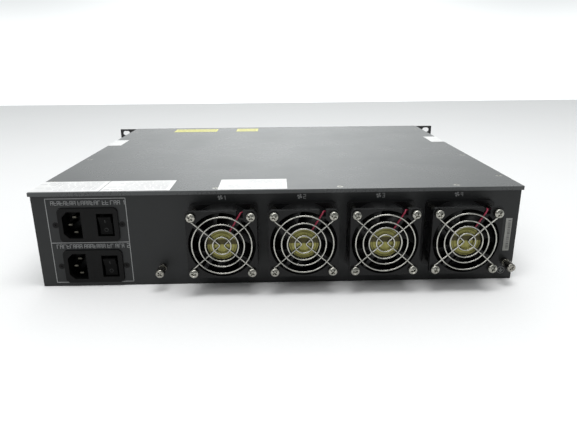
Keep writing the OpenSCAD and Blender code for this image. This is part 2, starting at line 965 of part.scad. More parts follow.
module batteries() {
    pitch = battery_size[0] + battery_gap;
    color([0.22, 0.22, 0.24])
    for (k = [0 : 3])
        translate([(k - 1.5) * pitch, battery_y, battery_z]) {
            box_between([-47, 0, 0], [47, 151, 65]);
            for (s = [-1, 1])
                translate([s * 34, 146, 65 - eps])
                    box_between([-3.2, -3, 0], [3.2, 3, 6]);
        }
}

module battery_tray() {
    w = 4 * battery_size[0] + 3 * battery_gap + 1;
    depth = battery_size[1] + 1;
    t = 1.5;
    color([0.60, 0.60, 0.62])
    translate([0, battery_y - 0.5, sheet]) {
        box_between([-w / 2 - t, -t, 0], [w / 2 + t, depth + t, battery_z - sheet]);
        box_between([-w / 2 - t, -t, 0], [w / 2 + t, 0, 20]);
        box_between([-w / 2 - t, depth, 0], [w / 2 + t, depth + t, 20]);
        for (side = [-1, 1])
            scale_x(side)
                box_between([w / 2, -t, 0], [w / 2 + t, depth + t, 20]);
    }
}

module battery_strap() {
    top_z = battery_z + battery_size[2];
    half = 2 * battery_size[0] + 1.5 * battery_gap + 2.6;
    color([0.55, 0.55, 0.57])
    translate([0, battery_y + 60, 0]) {
        box_between([-half - 1.5, 0, top_z], [half + 1.5, 22, top_z + 1.5]);
        for (side = [-1, 1])
            scale_x(side) {
                box_between([half, 0, sheet + 1.5], [half + 1.5, 22, top_z + 1.5]);
                box_between([half, 0, sheet], [half + 12, 22, sheet + 1.5]);
            }
    }
}

module board_hole_places() {
    for (sx = [-1, 1], sy = [-1, 1])
        translate([board_centre[0] + sx * (board_size[0] / 2 - 6),
                   board_centre[1] + sy * (board_size[1] / 2 - 6), 0])
            children();
}

module at_board(x, y) {
    translate([board_centre[0] + x, board_centre[1] + y, board_z + board_size[2]])
        children();
}

module power_board() {
    color([0.05, 0.32, 0.18])
    difference() {
        union() {
            translate([board_centre[0], board_centre[1], board_z + board_size[2] / 2])
                cube(board_size, center = true);
            // Relays and the input terminal row
            for (k = [0 : 3])
                at_board(118, -52 + k * 24)
                    box_between([-8, -9, -eps], [8, 9, 15]);
            at_board(138, 30)
                box_between([-6, -32, -eps], [6, 32, 11]);
            // Headers for the fan leads
            for (x = fan_centres)
                translate([x - 17, rear_y - 39, board_z + board_size[2]])
                    box_between([-3, -2.5, -eps], [3, 2.5, 6]);
            // Filter chokes
            for (k = [0, 1])
                at_board(74, -34 + k * 52)
                    cylinder(h = 16, r = 15);
        }
        board_hole_places()
            cylinder(h = 30, r = 1.7);
    }
}

module board_standoffs() {
    color([0.72, 0.66, 0.40])
    board_hole_places() {
        translate([0, 0, sheet])
            cylinder(h = board_z - sheet, r = 3.2);
        translate([0, 0, board_z - eps])
            cylinder(h = board_size[2] + 2 * eps, r = 1.6);
        translate([0, 0, board_z + board_size[2]])
            cylinder(h = 2, r = 3);
    }
}

module heatsinks() {
    fin_count = 9;
    fin_pitch = 4.5;
    sink = [fin_count * fin_pitch, 110, 46];
    color([0.68, 0.69, 0.70])
    for (x = [-118, -42])
        at_board(x, 4)
            translate([-sink[0] / 2, -sink[1] / 2, 0]) {
                cube([sink[0], sink[1], 6]);
                for (k = [0 : fin_count - 1])
                    translate([k * fin_pitch + 1.2, 0, 6 - eps])
                        cube([1.6, sink[1], sink[2] - 6]);
            }
}

module transformer() {
    color([0.20, 0.20, 0.22])
    at_board(12, -16) {
        box_between([-27, -24, 0], [27, 24, 9]);
        box_between([-27, -24, 41 - eps], [27, 24, 50]);
        for (s = [-1, 1])
            translate([s * 23, 0, 0])
                box_between([-4, -24, 8], [4, 24, 42]);
        cylinder(h = 42, r = 16);
    }
}

module bulk_capacitors() {
    color([0.12, 0.14, 0.30])
    for (k = [0 : 2], row = [0, 1])
        at_board(-6 + k * 24, 32 + row * 24)
            union() {
                cylinder(h = 38, r = 10.5);
                translate([0, 0, 38 - eps])
                    cylinder(h = 2, r1 = 10.5, r2 = 9);
            }
}

module emi_filters() {
    color([0.70, 0.71, 0.72])
    translate([inlet_x, rear_y - 150, sheet])
        for (level = [0, 1])
            translate([0, 0, level * 36]) {
                box_between([-24, 0, 0], [24, 78, 32]);
                for (s = [-1, 1])
                    translate([s * 12, 0, 16])
                        box_between([-3.2, 78 - eps, -1], [3.2, 88, 1]);
                if (level == 1)
                    box_between([-24, 0, -4], [24, 3, eps]);
            }
}

// Routes end upright on the board's terminal row, between the relays and the filters.
mains_route = [[150, 24.3, 18], [150, 20, 18], [148, 15, 19.5], [141, 10, 22], [126, 10, 26],
               [110, 24, 31], [97, 52, 34], [86, 84, 34], [81, 97, 31], [80, 102, 26],
               [80, 102, 22.65]];
battery_plus_route = [[176.5, -25.6, 75.05], [176.5, -25.6, 77], [170, -22, 79.5],
                      [140, -15, 80.5], [110, -8, 79], [95, 2, 72], [87, 20, 56],
                      [84, 40, 42], [84, 58, 34], [83, 64, 29], [83, 66, 25.5],
                      [83, 66, 22.65]];
battery_minus_route = [[-176.5, -25.6, 75.05], [-176.5, -25.6, 77], [-172, -19, 78.5],
                       [-150, -15, 74], [-100, -15, 70], [-40, -15, 70], [20, -14, 71],
                       [60, -8, 66], [76, 8, 58], [78, 22, 50], [79, 44, 41], [80, 66, 33],
                       [81, 76, 29], [81, 78, 25.5], [81, 78, 22.65]];

module wiring_harness() {
    pitch = battery_size[0] + battery_gap;
    post_y = battery_y + 146;
    post_z = battery_z + battery_size[2] + 6;
    color([0.75, 0.08, 0.08]) {
        tube(battery_plus_route, 1.8);
        tube(battery_minus_route, 1.8);
        for (dx = [0, 4])
            translate([dx, 0, 0])
                tube(mains_route, 1.5);
        // Links that join the batteries in series
        for (k = [-1 : 1])
            translate([k * pitch, post_y, post_z])
                box_between([-16.5, -3, 0], [16.5, 3, 1.5]);
        // Short leads from the inlets' tabs to the filters' tabs
        for (i = [0, 1]) {
            tab_z = sheet + 16 + (1 - i) * 36;
            blade_end = rear_y + bezel_proud - socket_depth - 25;
            for (s = [-1, 1])
                tube([[inlet_x + socket_dx - 2, blade_end, inlet_z[i] + s * pin_gap / 2],
                      [inlet_x + socket_dx - 2, blade_end - 5, inlet_z[i] + s * pin_gap / 2],
                      [inlet_x + s * 12, rear_y - 57, tab_z],
                      [inlet_x + s * 12, rear_y - 62, tab_z]], 1.4);
        }
    }
}

base_tray();
rear_panel();
front_panel();
top_cover();
rack_ear_left();
rack_ear_right();
cover_screws();
ear_screws();
fan_1_frame();
fan_2_frame();
fan_3_frame();
fan_4_frame();
fan_1_rotor();
fan_2_rotor();
fan_3_rotor();
fan_4_rotor();
fan_1_guard();
fan_2_guard();
fan_3_guard();
fan_4_guard();
fan_stators();
fan_hub_labels();
fan_leads();
fan_screws();
fan_nuts();
inlet_1_socket();
inlet_2_socket();
inlet_1_rocker();
inlet_2_rocker();
inlet_contacts();
inlet_screws();
thumbscrew_left();
thumbscrew_right();
thumbscrew_left_clip();
thumbscrew_right_clip();
thumbscrew_ferrules();
cover_labels();
yellow_labels();
seal_labels();
strip_label();
display_module();
display_window();
power_button();
menu_button();
mute_button();
status_leds();
output_terminal();
output_terminal_screws();
control_board();
batteries();
battery_tray();
battery_strap();
power_board();
board_standoffs();
heatsinks();
transformer();
bulk_capacitors();
emi_filters();
wiring_harness();
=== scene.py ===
"""Studio scene of a two-unit rack-mount uninterruptible power supply, seen from its rear.

X runs across the rack, Y from the front panel to the rear panel, Z up. Lengths are in metres."""

import math
import random

import bmesh
import bpy
from mathutils import Matrix, Vector


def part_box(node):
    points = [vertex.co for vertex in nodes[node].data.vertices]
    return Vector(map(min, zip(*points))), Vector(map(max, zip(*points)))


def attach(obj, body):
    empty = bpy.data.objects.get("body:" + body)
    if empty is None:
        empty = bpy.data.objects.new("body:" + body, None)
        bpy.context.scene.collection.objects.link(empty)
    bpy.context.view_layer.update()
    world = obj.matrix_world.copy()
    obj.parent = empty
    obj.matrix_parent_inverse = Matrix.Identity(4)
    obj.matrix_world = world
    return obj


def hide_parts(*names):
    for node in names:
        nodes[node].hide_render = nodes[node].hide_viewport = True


MM = 0.001
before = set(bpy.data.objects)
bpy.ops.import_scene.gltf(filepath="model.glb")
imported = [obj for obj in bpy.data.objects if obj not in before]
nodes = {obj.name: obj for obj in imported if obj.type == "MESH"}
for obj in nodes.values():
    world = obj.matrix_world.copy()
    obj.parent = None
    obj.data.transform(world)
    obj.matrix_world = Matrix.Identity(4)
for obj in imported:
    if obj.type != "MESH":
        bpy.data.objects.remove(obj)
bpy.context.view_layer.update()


# ---- Camera, at the photograph's viewing angle ----

# The camera's place and axes, solved from the photograph's corners, and its lens in mm.
CAMERA_PLACE = (0.00035, 0.61224, 0.20527)
CAMERA_RIGHT = (-0.999682, 0.023877, -0.008092)
CAMERA_DOWN = (0.015050, 0.307672, -0.951374)
CAMERA_FORWARD = (-0.020226, -0.951193, -0.307933)
CAMERA_LENS = 32.385
SENSOR_WIDTH = 36.0


def add_camera():
    """The camera solved from the photograph."""
    data = bpy.data.cameras.new("camera")
    data.sensor_fit = "HORIZONTAL"
    data.sensor_width = SENSOR_WIDTH
    data.lens = CAMERA_LENS
    data.clip_start = 0.01
    camera = bpy.data.objects.new("camera", data)
    bpy.context.scene.collection.objects.link(camera)
    right, down, forward = map(Vector, (CAMERA_RIGHT, CAMERA_DOWN, CAMERA_FORWARD))
    turn = Matrix((right, -down, -forward)).transposed()
    camera.matrix_world = Matrix.Translation(CAMERA_PLACE) @ turn.to_4x4()
    bpy.context.scene.camera = camera


# ---- Materials ----

class Shader:
    """A material's node tree with short calls for the nodes that recur."""

    def __init__(self, name):
        self.material = bpy.data.materials.new(name)
        self.material.use_nodes = True
        self.tree = self.material.node_tree
        self.surface = self.tree.nodes["Principled BSDF"]
        self.place = self.node("ShaderNodeTexCoord").outputs["Object"]

    def node(self, kind, **settings):
        made = self.tree.nodes.new(kind)
        for key, value in settings.items():
            setattr(made, key, value)
        return made

    def link(self, output, target):
        self.tree.links.new(output, target)

    def set(self, **values):
        """Plain values on the shader's own sockets."""
        for key, value in values.items():
            socket = self.surface.inputs[key.replace("_", " ")]
            socket.default_value = (*value, 1.0) if isinstance(value, tuple) else value

    def stretched(self, x=1.0, y=1.0, z=1.0, shift=(0, 0, 0)):
        mapping = self.node("ShaderNodeMapping")
        mapping.inputs["Scale"].default_value = (x, y, z)
        mapping.inputs["Location"].default_value = shift
        self.link(self.place, mapping.inputs["Vector"])
        return mapping.outputs["Vector"]

    def noise(self, size, detail=2.0, rough=0.5, at=None):
        """Noise with features of the given size in metres."""
        made = self.node("ShaderNodeTexNoise")
        self.link(at or self.place, made.inputs["Vector"])
        made.inputs["Scale"].default_value = 1.0 / size
        made.inputs["Detail"].default_value = detail
        made.inputs["Roughness"].default_value = rough
        return made.outputs["Fac"]

    def cells(self, size):
        """Distance to the nearest of points about the given size apart, in metres."""
        made = self.node("ShaderNodeTexVoronoi")
        self.link(self.place, made.inputs["Vector"])
        made.inputs["Scale"].default_value = 1.0 / size
        return made.outputs["Distance"]

    def math(self, operation, a, b=0.5, clamp=False):
        made = self.node("ShaderNodeMath", operation=operation, use_clamp=clamp)
        for k, value in enumerate((a, b)):
            if isinstance(value, (int, float)):
                made.inputs[k].default_value = value
            else:
                self.link(value, made.inputs[k])
        return made.outputs[0]

    def span(self, value, low, high, start=0.3, end=0.7):
        made = self.node("ShaderNodeMapRange")
        self.link(value, made.inputs["Value"])
        for key, number in zip(("From Min", "From Max", "To Min", "To Max"),
                               (start, end, low, high)):
            made.inputs[key].default_value = number
        return made.outputs["Result"]

    def blend(self, fac, a, b):
        made = self.node("ShaderNodeMix", data_type="RGBA")
        self.link(fac, made.inputs[0])
        for socket, value in ((made.inputs[6], a), (made.inputs[7], b)):
            if isinstance(value, tuple):
                socket.default_value = (*value, 1.0)
            else:
                self.link(value, socket)
        return made.outputs[2]

    def paint(self, colour):
        self.link(colour, self.surface.inputs["Base Color"])

    def gloss(self, value):
        self.link(value, self.surface.inputs["Roughness"])

    def bump(self, height, strength, distance):
        made = self.node("ShaderNodeBump")
        made.inputs["Strength"].default_value = strength
        made.inputs["Distance"].default_value = distance
        self.link(height, made.inputs["Height"])
        self.link(made.outputs["Normal"], self.surface.inputs["Normal"])


def mottled(name, dark, light, grain=0.6, patch=22.0, rough=(0.4, 0.5), bump=0.15, **sockets):
    """A surface with a fine grain over slow changes of tone. Grain and patch are in millimetres."""
    s = Shader(name)
    fine = s.noise(grain * MM, 3.0)
    slow = s.noise(patch * MM, 3.0, 0.6)
    both = s.math("ADD", s.math("MULTIPLY", fine, 0.45), s.math("MULTIPLY", slow, 0.55))
    s.paint(s.blend(s.span(both, 0, 1, 0.38, 0.62), dark, light))
    s.gloss(s.span(s.math("ADD", fine, slow), rough[0], rough[1], 0.8, 1.2))
    s.bump(fine, bump, grain * 0.2 * MM)
    s.set(**sockets)
    return s


def powder_coat(name, dark, light, rough, scratches=0.0, **sockets):
    """Baked powder coat: orange peel, small specks, and faint scratches where asked for."""
    s = Shader(name)
    peel = s.noise(0.9 * MM, 2.0, 0.45)
    speck = s.cells(0.55 * MM)
    slow = s.noise(60 * MM, 3.0, 0.6)
    tone = s.blend(s.span(slow, 0, 1, 0.35, 0.65), dark, light)
    pale = tuple(min(1.0, c * 1.9 + 0.01) for c in light)
    tone = s.blend(s.span(speck, 0.35, 0.0, 0.02, 0.16), tone, pale)
    shine = s.span(s.math("ADD", s.math("MULTIPLY", peel, 0.4), slow), rough[0], rough[1], 0.5, 0.9)
    if scratches:
        marks = None
        for turn, (x, y) in enumerate(((1.0, 26.0), (22.0, 1.0))):
            lines = s.noise(14 * MM, 1.0, 0.4, s.stretched(x, y, 1.0, (turn * 3.0, 0.7, 0.2)))
            lines = s.span(lines, 0.0, 1.0, 0.735, 0.76)
            marks = lines if marks is None else s.math("MAXIMUM", marks, lines)
        patches = s.span(s.noise(85 * MM, 2.0), 0.0, scratches, 0.48, 0.62)
        marks = s.math("MULTIPLY", marks, patches)
        tone = s.blend(marks, tone, tuple(min(1.0, c * 3 + 0.05) for c in light))
        shine = s.math("ADD", shine, s.math("MULTIPLY", marks, 0.2))
    s.paint(tone)
    s.gloss(shine)
    s.bump(s.math("ADD", peel, s.math("MULTIPLY", speck, 0.3)), 0.12, 0.05 * MM)
    s.set(**sockets)
    return s


def metal(name, dark, light, rough=(0.2, 0.34), grain=0.5, streak=(1, 1, 1), bump=0.08):
    """Plated or machined metal, with fine tool marks along the unstretched axis."""
    s = Shader(name)
    marks = s.noise(grain * MM, 2.0, 0.5, s.stretched(*streak))
    haze = s.noise(5 * MM, 3.0, 0.6)
    s.paint(s.blend(s.span(haze, 0, 1, 0.35, 0.65), dark, light))
    s.gloss(s.span(s.math("ADD", marks, haze), rough[0], rough[1], 0.75, 1.25))
    s.bump(marks, bump, 0.03 * MM)
    s.set(Metallic=1.0)
    return s


def printed_foil():
    """The hub sticker: gold foil with a dark band, a dull ring and flecks, about its own centre."""
    s = Shader("hub_foil")
    split = s.node("ShaderNodeSeparateXYZ")
    s.link(s.place, split.inputs[0])
    height = s.math("ABSOLUTE", s.math("SUBTRACT", split.outputs["Z"], 3.0 * MM))
    radius = s.node("ShaderNodeVectorMath", operation="LENGTH")
    s.link(s.stretched(1, 0, 1), radius.inputs[0])
    radius = radius.outputs["Value"]
    haze = s.noise(4 * MM, 3.0, 0.6)
    foil = s.blend(s.span(haze, 0, 1, 0.35, 0.65), (0.18, 0.17, 0.05), (0.28, 0.265, 0.085))
    band = s.span(height, 1.0, 0.0, 2.2 * MM, 2.35 * MM)
    foil = s.blend(s.math("MULTIPLY", band, 0.85), foil, (0.018, 0.013, 0.008))
    ring = s.math("MULTIPLY", s.span(radius, 0.0, 1.0, 10.6 * MM, 10.8 * MM),
                  s.span(radius, 1.0, 0.0, 11.3 * MM, 11.5 * MM))
    foil = s.blend(s.math("MULTIPLY", ring, 0.7), foil, (0.03, 0.022, 0.012))
    fleck = s.span(s.cells(1.3 * MM), 1.0, 0.0, 0.24, 0.30)
    printed = s.math("MULTIPLY", s.span(radius, 0.0, 1.0, 6.3 * MM, 6.5 * MM),
                     s.span(radius, 1.0, 0.0, 9.6 * MM, 9.8 * MM))
    foil = s.blend(s.math("MULTIPLY", s.math("MULTIPLY", fleck, printed), 0.75), foil,
                   (0.025, 0.020, 0.012))
    s.paint(foil)
    s.gloss(s.span(haze, 0.28, 0.42))
    s.bump(s.noise(0.7 * MM), 0.1, 0.03 * MM)
    s.set(Metallic=0.75)
    return s


def label_stock(name, dark, light, rough=(0.3, 0.42)):
    """Coated label paper, with a few soft creases."""
    s = Shader(name)
    fibre = s.noise(0.35 * MM, 3.0)
    crease = s.noise(9 * MM, 1.0, 0.3, s.stretched(1.0, 0.35, 1.0))
    s.paint(s.blend(s.span(s.math("ADD", fibre, crease), 0, 1, 0.8, 1.25), dark, light))
    s.gloss(s.span(crease, rough[0], rough[1]))
    s.bump(s.math("ADD", crease, s.math("MULTIPLY", fibre, 0.1)), 0.25, 0.25 * MM)
    return s


def smoked_glass():
    """The dark window over the display."""
    s = Shader("window_glass")
    haze = s.noise(20 * MM, 2.0)
    s.paint(s.blend(s.span(haze, 0, 1), (0.010, 0.018, 0.030), (0.018, 0.030, 0.048)))
    s.gloss(s.span(haze, 0.06, 0.12))
    s.bump(s.noise(6 * MM), 0.02, 0.02 * MM)
    s.set(Coat_Weight=0.6, Coat_Roughness=0.05)
    return s


def make_looks():
    """One material for each slot of the record, and the ones that only the looks need."""
    looks = {
        "case_paint": powder_coat("case_powder", (0.008, 0.009, 0.0092), (0.012, 0.013, 0.0135),
                                  (0.36, 0.48), Specular_IOR_Level=0.36),
        # The cover is the same dark paint as the panel: its lighter base colour is painted sheen
        # from the light behind and above, and its scratches are wear.
        "cover_paint": powder_coat("cover_powder_painted_sheen", (0.034, 0.037, 0.038), (0.039, 0.043, 0.044),
                                   (0.26, 0.31), 0.12, Specular_IOR_Level=0.6),
        "ear_paint": powder_coat("ear_powder", (0.012, 0.012, 0.0122), (0.017, 0.017, 0.0175),
                                 (0.38, 0.5)),
        "zinc_screw": metal("zinc_plate", (0.27, 0.27, 0.24), (0.42, 0.41, 0.37), (0.16, 0.28)),
        "black_screw": mottled("black_oxide", (0.003, 0.003, 0.003), (0.006, 0.006, 0.006),
                               0.4, 6, (0.3, 0.45), 0.1, Specular_IOR_Level=0.15),
        "fan_plastic": mottled("fan_nylon", (0.003, 0.003, 0.0032), (0.006, 0.006, 0.0063),
                               0.45, 12, (0.26, 0.36), 0.15, Specular_IOR_Level=0.22),
        "rotor_plastic": mottled("rotor_nylon", (0.006, 0.006, 0.006), (0.012, 0.012, 0.012),
                                 0.6, 9, (0.3, 0.42), 0.12, Specular_IOR_Level=0.3),
        "guard_wire": metal("nickel_wire", (0.36, 0.36, 0.33), (0.52, 0.51, 0.47), (0.14, 0.24)),
        "windings": metal("copper_winding", (0.50, 0.22, 0.10), (0.78, 0.40, 0.20),
                          (0.3, 0.45), 0.35),
        "hub_label": printed_foil(),
        "red_lead": mottled("crimson_sleeve", (0.20, 0.008, 0.030), (0.28, 0.014, 0.044),
                            0.5, 8, (0.34, 0.46), 0.1),
        "inlet_plastic": mottled("inlet_nylon", (0.002, 0.002, 0.002), (0.004, 0.004, 0.004),
                                 0.3, 10, (0.32, 0.42), 0.25, Specular_IOR_Level=0.14),
        "rocker_plastic": mottled("rocker_gloss", (0.002, 0.002, 0.002), (0.004, 0.004, 0.004),
                                   0.5, 7, (0.36, 0.46), 0.06, Specular_IOR_Level=0.06),
        # The socket contacts' plating is painted nearly black: painted shade from the socket's
        # recess.
        "contact_plate": metal("contact_nickel_painted_shade", (0.05, 0.048, 0.04), (0.09, 0.085, 0.07)),
        "thumb_metal": metal("thumb_nickel", (0.22, 0.21, 0.19), (0.36, 0.35, 0.31), (0.16, 0.28)),
        "spring_steel": metal("spring_steel", (0.32, 0.32, 0.33), (0.44, 0.44, 0.45)),
        "white_label": label_stock("white_stock", (0.78, 0.78, 0.77), (0.88, 0.88, 0.87)),
        "yellow_label": label_stock("yellow_stock", (0.74, 0.70, 0.13), (0.82, 0.79, 0.19)),
        "grey_label": label_stock("grey_stock", (0.24, 0.24, 0.22), (0.32, 0.32, 0.30)),
        "display_glass": smoked_glass(),
        "display_board": mottled("display_board", (0.02, 0.04, 0.09), (0.03, 0.06, 0.13)),
        "button_metal": metal("button_satin", (0.48, 0.48, 0.49), (0.62, 0.62, 0.63),
                              (0.28, 0.4), 0.3),
        "led_lens": mottled("led_green", (0.03, 0.22, 0.06), (0.06, 0.36, 0.11), 0.4, 3,
                            (0.12, 0.2), 0.03, Coat_Weight=0.5),
        "terminal_plastic": mottled("terminal_nylon", (0.010, 0.010, 0.011), (0.018, 0.018, 0.019),
                                    0.4, 8, (0.4, 0.52), 0.2),
        "terminal_brass": metal("terminal_brass", (0.60, 0.50, 0.28), (0.78, 0.68, 0.42)),
        "circuit_board": mottled("solder_mask", (0.010, 0.075, 0.030), (0.018, 0.120, 0.050),
                                 1.2, 14, (0.28, 0.4), 0.2),
        "battery_case": mottled("battery_abs", (0.025, 0.025, 0.028), (0.045, 0.045, 0.050),
                                0.6, 20, (0.42, 0.55), 0.25),
        "bare_steel": metal("bare_steel", (0.42, 0.42, 0.42), (0.58, 0.58, 0.57), (0.3, 0.45),
                            0.8, (1, 12, 1)),
        "heatsink": metal("drawn_aluminium", (0.56, 0.57, 0.58), (0.70, 0.71, 0.72),
                          (0.3, 0.42), 0.5, (14, 1, 14)),
        "transformer_core": mottled("core_varnish", (0.025, 0.022, 0.020), (0.060, 0.050, 0.040),
                                    0.8, 10, (0.35, 0.5), 0.3),
        "capacitor_sleeve": mottled("capacitor_sleeve", (0.012, 0.016, 0.055),
                                    (0.022, 0.028, 0.085), 0.6, 8, (0.25, 0.35), 0.06),
        "harness": mottled("harness_sleeve", (0.30, 0.010, 0.010), (0.46, 0.020, 0.018),
                           0.6, 12, (0.36, 0.48), 0.1),
        "silk_ink": mottled("silk_ink", (0.22, 0.225, 0.225), (0.30, 0.305, 0.305), 0.3, 4,
                            (0.5, 0.62), 0.1),
        "label_ink": mottled("label_ink", (0.48, 0.48, 0.49), (0.58, 0.58, 0.59), 0.3, 4,
                             (0.5, 0.6), 0.05),
        "rocker_ink": mottled("rocker_ink", (0.045, 0.045, 0.045), (0.07, 0.07, 0.07), 0.3, 4,
                              (0.5, 0.6), 0.05, Specular_IOR_Level=0.1),
        "yellow_ink": mottled("yellow_ink", (0.34, 0.31, 0.10), (0.44, 0.40, 0.14), 0.3, 4,
                              (0.45, 0.55), 0.05),
        "strip_ink": mottled("strip_ink", (0.05, 0.05, 0.05), (0.09, 0.09, 0.09), 0.3, 4,
                             (0.45, 0.55), 0.05),
    }
    return {key: shader.material for key, shader in looks.items()}


LOOKS = make_looks()

SLOT_NODES = {
    "case_paint": ["base_tray", "rear_panel", "front_panel"],
    "cover_paint": ["top_cover"],
    "ear_paint": ["rack_ear_left", "rack_ear_right"],
    "zinc_screw": ["cover_screws", "ear_screws", "fan_screws", "fan_nuts"],
    "black_screw": ["inlet_screws"],
    "fan_plastic": [f"fan_{k}_frame" for k in range(1, 5)],
    "rotor_plastic": [f"fan_{k}_rotor" for k in range(1, 5)],
    "guard_wire": [f"fan_{k}_guard" for k in range(1, 5)],
    "windings": ["fan_stators"],
    "hub_label": ["fan_hub_labels"],
    "red_lead": ["fan_leads"],
    "inlet_plastic": ["inlet_1_socket", "inlet_2_socket"],
    "rocker_plastic": ["inlet_1_rocker", "inlet_2_rocker"],
    "contact_plate": ["inlet_contacts"],
    "thumb_metal": ["thumbscrew_left", "thumbscrew_right", "thumbscrew_ferrules"],
    "spring_steel": ["thumbscrew_left_clip", "thumbscrew_right_clip"],
    "white_label": ["cover_labels", "seal_labels"],
    "yellow_label": ["yellow_labels"],
    "grey_label": ["strip_label"],
    "display_glass": ["display_window"],
    "display_board": ["display_module"],
    "button_metal": ["power_button", "menu_button", "mute_button"],
    "led_lens": ["status_leds"],
    "terminal_plastic": ["output_terminal"],
    "terminal_brass": ["output_terminal_screws", "board_standoffs"],
    "circuit_board": ["control_board", "power_board"],
    "battery_case": ["batteries"],
    "bare_steel": ["battery_tray", "battery_strap", "emi_filters"],
    "heatsink": ["heatsinks"],
    "transformer_core": ["transformer"],
    "capacitor_sleeve": ["bulk_capacitors"],
    "harness": ["wiring_harness"],
}

# Edge rounding of the kept CAD nodes, in millimetres.
EDGE_MM = {
    "base_tray": 0.3, "rear_panel": 0.35, "front_panel": 0.3, "top_cover": 0.45,
    "rack_ear_left": 0.35, "rack_ear_right": 0.35, "ear_screws": 0.15,
    "fan_1_frame": 0.8, "fan_2_frame": 0.8, "fan_3_frame": 0.8, "fan_4_frame": 0.8,
    "inlet_1_socket": 0.35, "inlet_2_socket": 0.35, "inlet_1_rocker": 0.6, "inlet_2_rocker": 0.6,
    "inlet_contacts": 0.7, "thumbscrew_ferrules": 0.15, "output_terminal": 0.25,
    "power_button": 0.4, "menu_button": 0.35, "mute_button": 0.35, "display_window": 0.15,
    "batteries": 0.8, "emi_filters": 0.4, "transformer": 0.4,
}


def dress_cad_nodes():
    """Gives every CAD node its slot's material, and soft edges where they show."""
    for slot, names in SLOT_NODES.items():
        for name in names:
            node = nodes[name]
            node.data.materials.clear()
            node.data.materials.append(LOOKS[slot])
            if name in EDGE_MM:
                if "custom_normal" in node.data.attributes:
                    node.data.attributes.remove(node.data.attributes["custom_normal"])
                node.data.shade_smooth()
                weld = node.modifiers.new("weld", "WELD")
                weld.merge_threshold = 0.005 * MM
                flat = node.modifiers.new("flat", "DECIMATE")
                flat.decimate_type = "DISSOLVE"
                flat.angle_limit = math.radians(0.5)
                bevel = node.modifiers.new("bevel", "BEVEL")
                bevel.width = EDGE_MM[name] * MM
                bevel.segments = 2
                bevel.limit_method = "ANGLE"
                bevel.angle_limit = math.radians(38)
                bevel.use_clamp_overlap = True
                bevel.miter_outer = "MITER_ARC"
                even = node.modifiers.new("even", "WEIGHTED_NORMAL")
                even.weight = 100


# ---- Mesh building ----

class Solid:
    """Vertices and faces of closed shells, in metres."""

    def __init__(self):
        self.points = []
        self.faces = []

    def add(self, points, faces, place=None):
        start = len(self.points)
        self.points += [place @ Vector(p) if place else Vector(p) for p in points]
        self.faces += [[start + k for k in face] for face in faces]

    def grid(self, rings, closed=True, caps=True, place=None):
        """Joins rings of equal length into one skin; closed means each ring closes on itself."""
        n = len(rings[0])
        points = [p for ring in rings for p in ring]
        reach = n if closed else n - 1
        faces = [[i * n + k, i * n + (k + 1) % n, (i + 1) * n + (k + 1) % n, (i + 1) * n + k]
                 for i in range(len(rings) - 1) for k in range(reach)]
        if caps:
            faces.append(list(range(n))[::-1])
            faces.append([(len(rings) - 1) * n + k for k in range(n)])
        self.add(points, faces, place)

    def lathe(self, profile, steps=32, place=None):
        """Turns a profile of (radius, height) round Y, from the low end to the high end."""
        rings = [[(r * math.cos(a), y, r * math.sin(a))
                  for a in (-2 * math.pi * k / steps for k in range(steps))]
                 for r, y in profile]
        self.grid(rings, place=place)

    def sweep(self, path, radius, sides=12, loop=False, place=None):
        """A round wire along a path, with rings carried along without twist."""
        path = [Vector(p) for p in path]
        count = len(path)
        tangents = []
        for i in range(count):
            before = path[i - 1] if loop else path[max(i - 1, 0)]
            after = path[(i + 1) % count] if loop else path[min(i + 1, count - 1)]
            tangents.append((after - before).normalized())
        up = Vector((0, 1, 0)) if abs(tangents[0].y) < 0.9 else Vector((1, 0, 0))
        rings = []
        for point, tangent in zip(path, tangents):
            up = (up - tangent * up.dot(tangent)).normalized()
            side = tangent.cross(up)
            rings.append([point + radius * (math.cos(a) * up + math.sin(a) * side)
                          for a in (2 * math.pi * k / sides for k in range(sides))])
        if loop:
            rings.append(rings[0])
        self.grid(rings, caps=not loop, place=place)

    def slab(self, outline, y0, y1, place=None):
        """A flat piece with an XZ outline, given anticlockwise as seen from the rear."""
        n = len(outline)
        points = [(x, y0, z) for x, z in outline] + [(x, y1, z) for x, z in outline]
        faces = [[k, (k + 1) % n, n + (k + 1) % n, n + k] for k in range(n)]
        faces += [list(range(n))[::-1], [n + k for k in range(n)]]
        self.add(points, faces, place)

    def bar(self, x0, x1, z0, z1, y0, y1, place=None):
        self.slab([(x0, z0), (x1, z0), (x1, z1), (x0, z1)], y0, y1, place)

    def block(self, lo, hi, place=None):
        self.bar(lo[0], hi[0], lo[2], hi[2], lo[1], hi[1], place)

    def object(self, name, slot, body, look=None, smooth=40.0, replaces=(), origin=None):
        """Makes the piece, with its normals outwards, and puts it on its body."""
        mesh = bpy.data.meshes.new(name)
        shift = Vector(origin) if origin else Vector()
        mesh.from_pydata([p - shift for p in self.points], [], self.faces)
        if origin is None:
            mesh.validate()
        weld_and_turn(mesh)
        mesh.materials.append(LOOKS[look or slot])
        mesh.shade_smooth()
        mesh.set_sharp_from_angle(angle=math.radians(smooth))
        piece = bpy.data.objects.new(name, mesh)
        piece.location = shift
        bpy.context.scene.collection.objects.link(piece)
        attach(piece, body)
        if replaces:
            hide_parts(*replaces)
        return piece


def weld_and_turn(mesh):
    """Joins coincident points, drops the empty faces that leaves and turns every shell outwards."""
    work = bmesh.new()
    work.from_mesh(mesh)
    bmesh.ops.remove_doubles(work, verts=work.verts, dist=1e-6)
    bmesh.ops.dissolve_degenerate(work, edges=work.edges, dist=1e-7)
    bmesh.ops.recalc_face_normals(work, faces=work.faces)
    work.to_mesh(mesh)
    work.free()


def scaled_object(part, factor):
    """A loose object holding the solid at another scale, for carved to work on."""
    mesh = bpy.data.meshes.new("carve")
    mesh.from_pydata([p * factor for p in part.points], [], part.faces)
    weld_and_turn(mesh)
    made = bpy.data.objects.new("carve", mesh)
    bpy.context.scene.collection.objects.link(made)
    return made


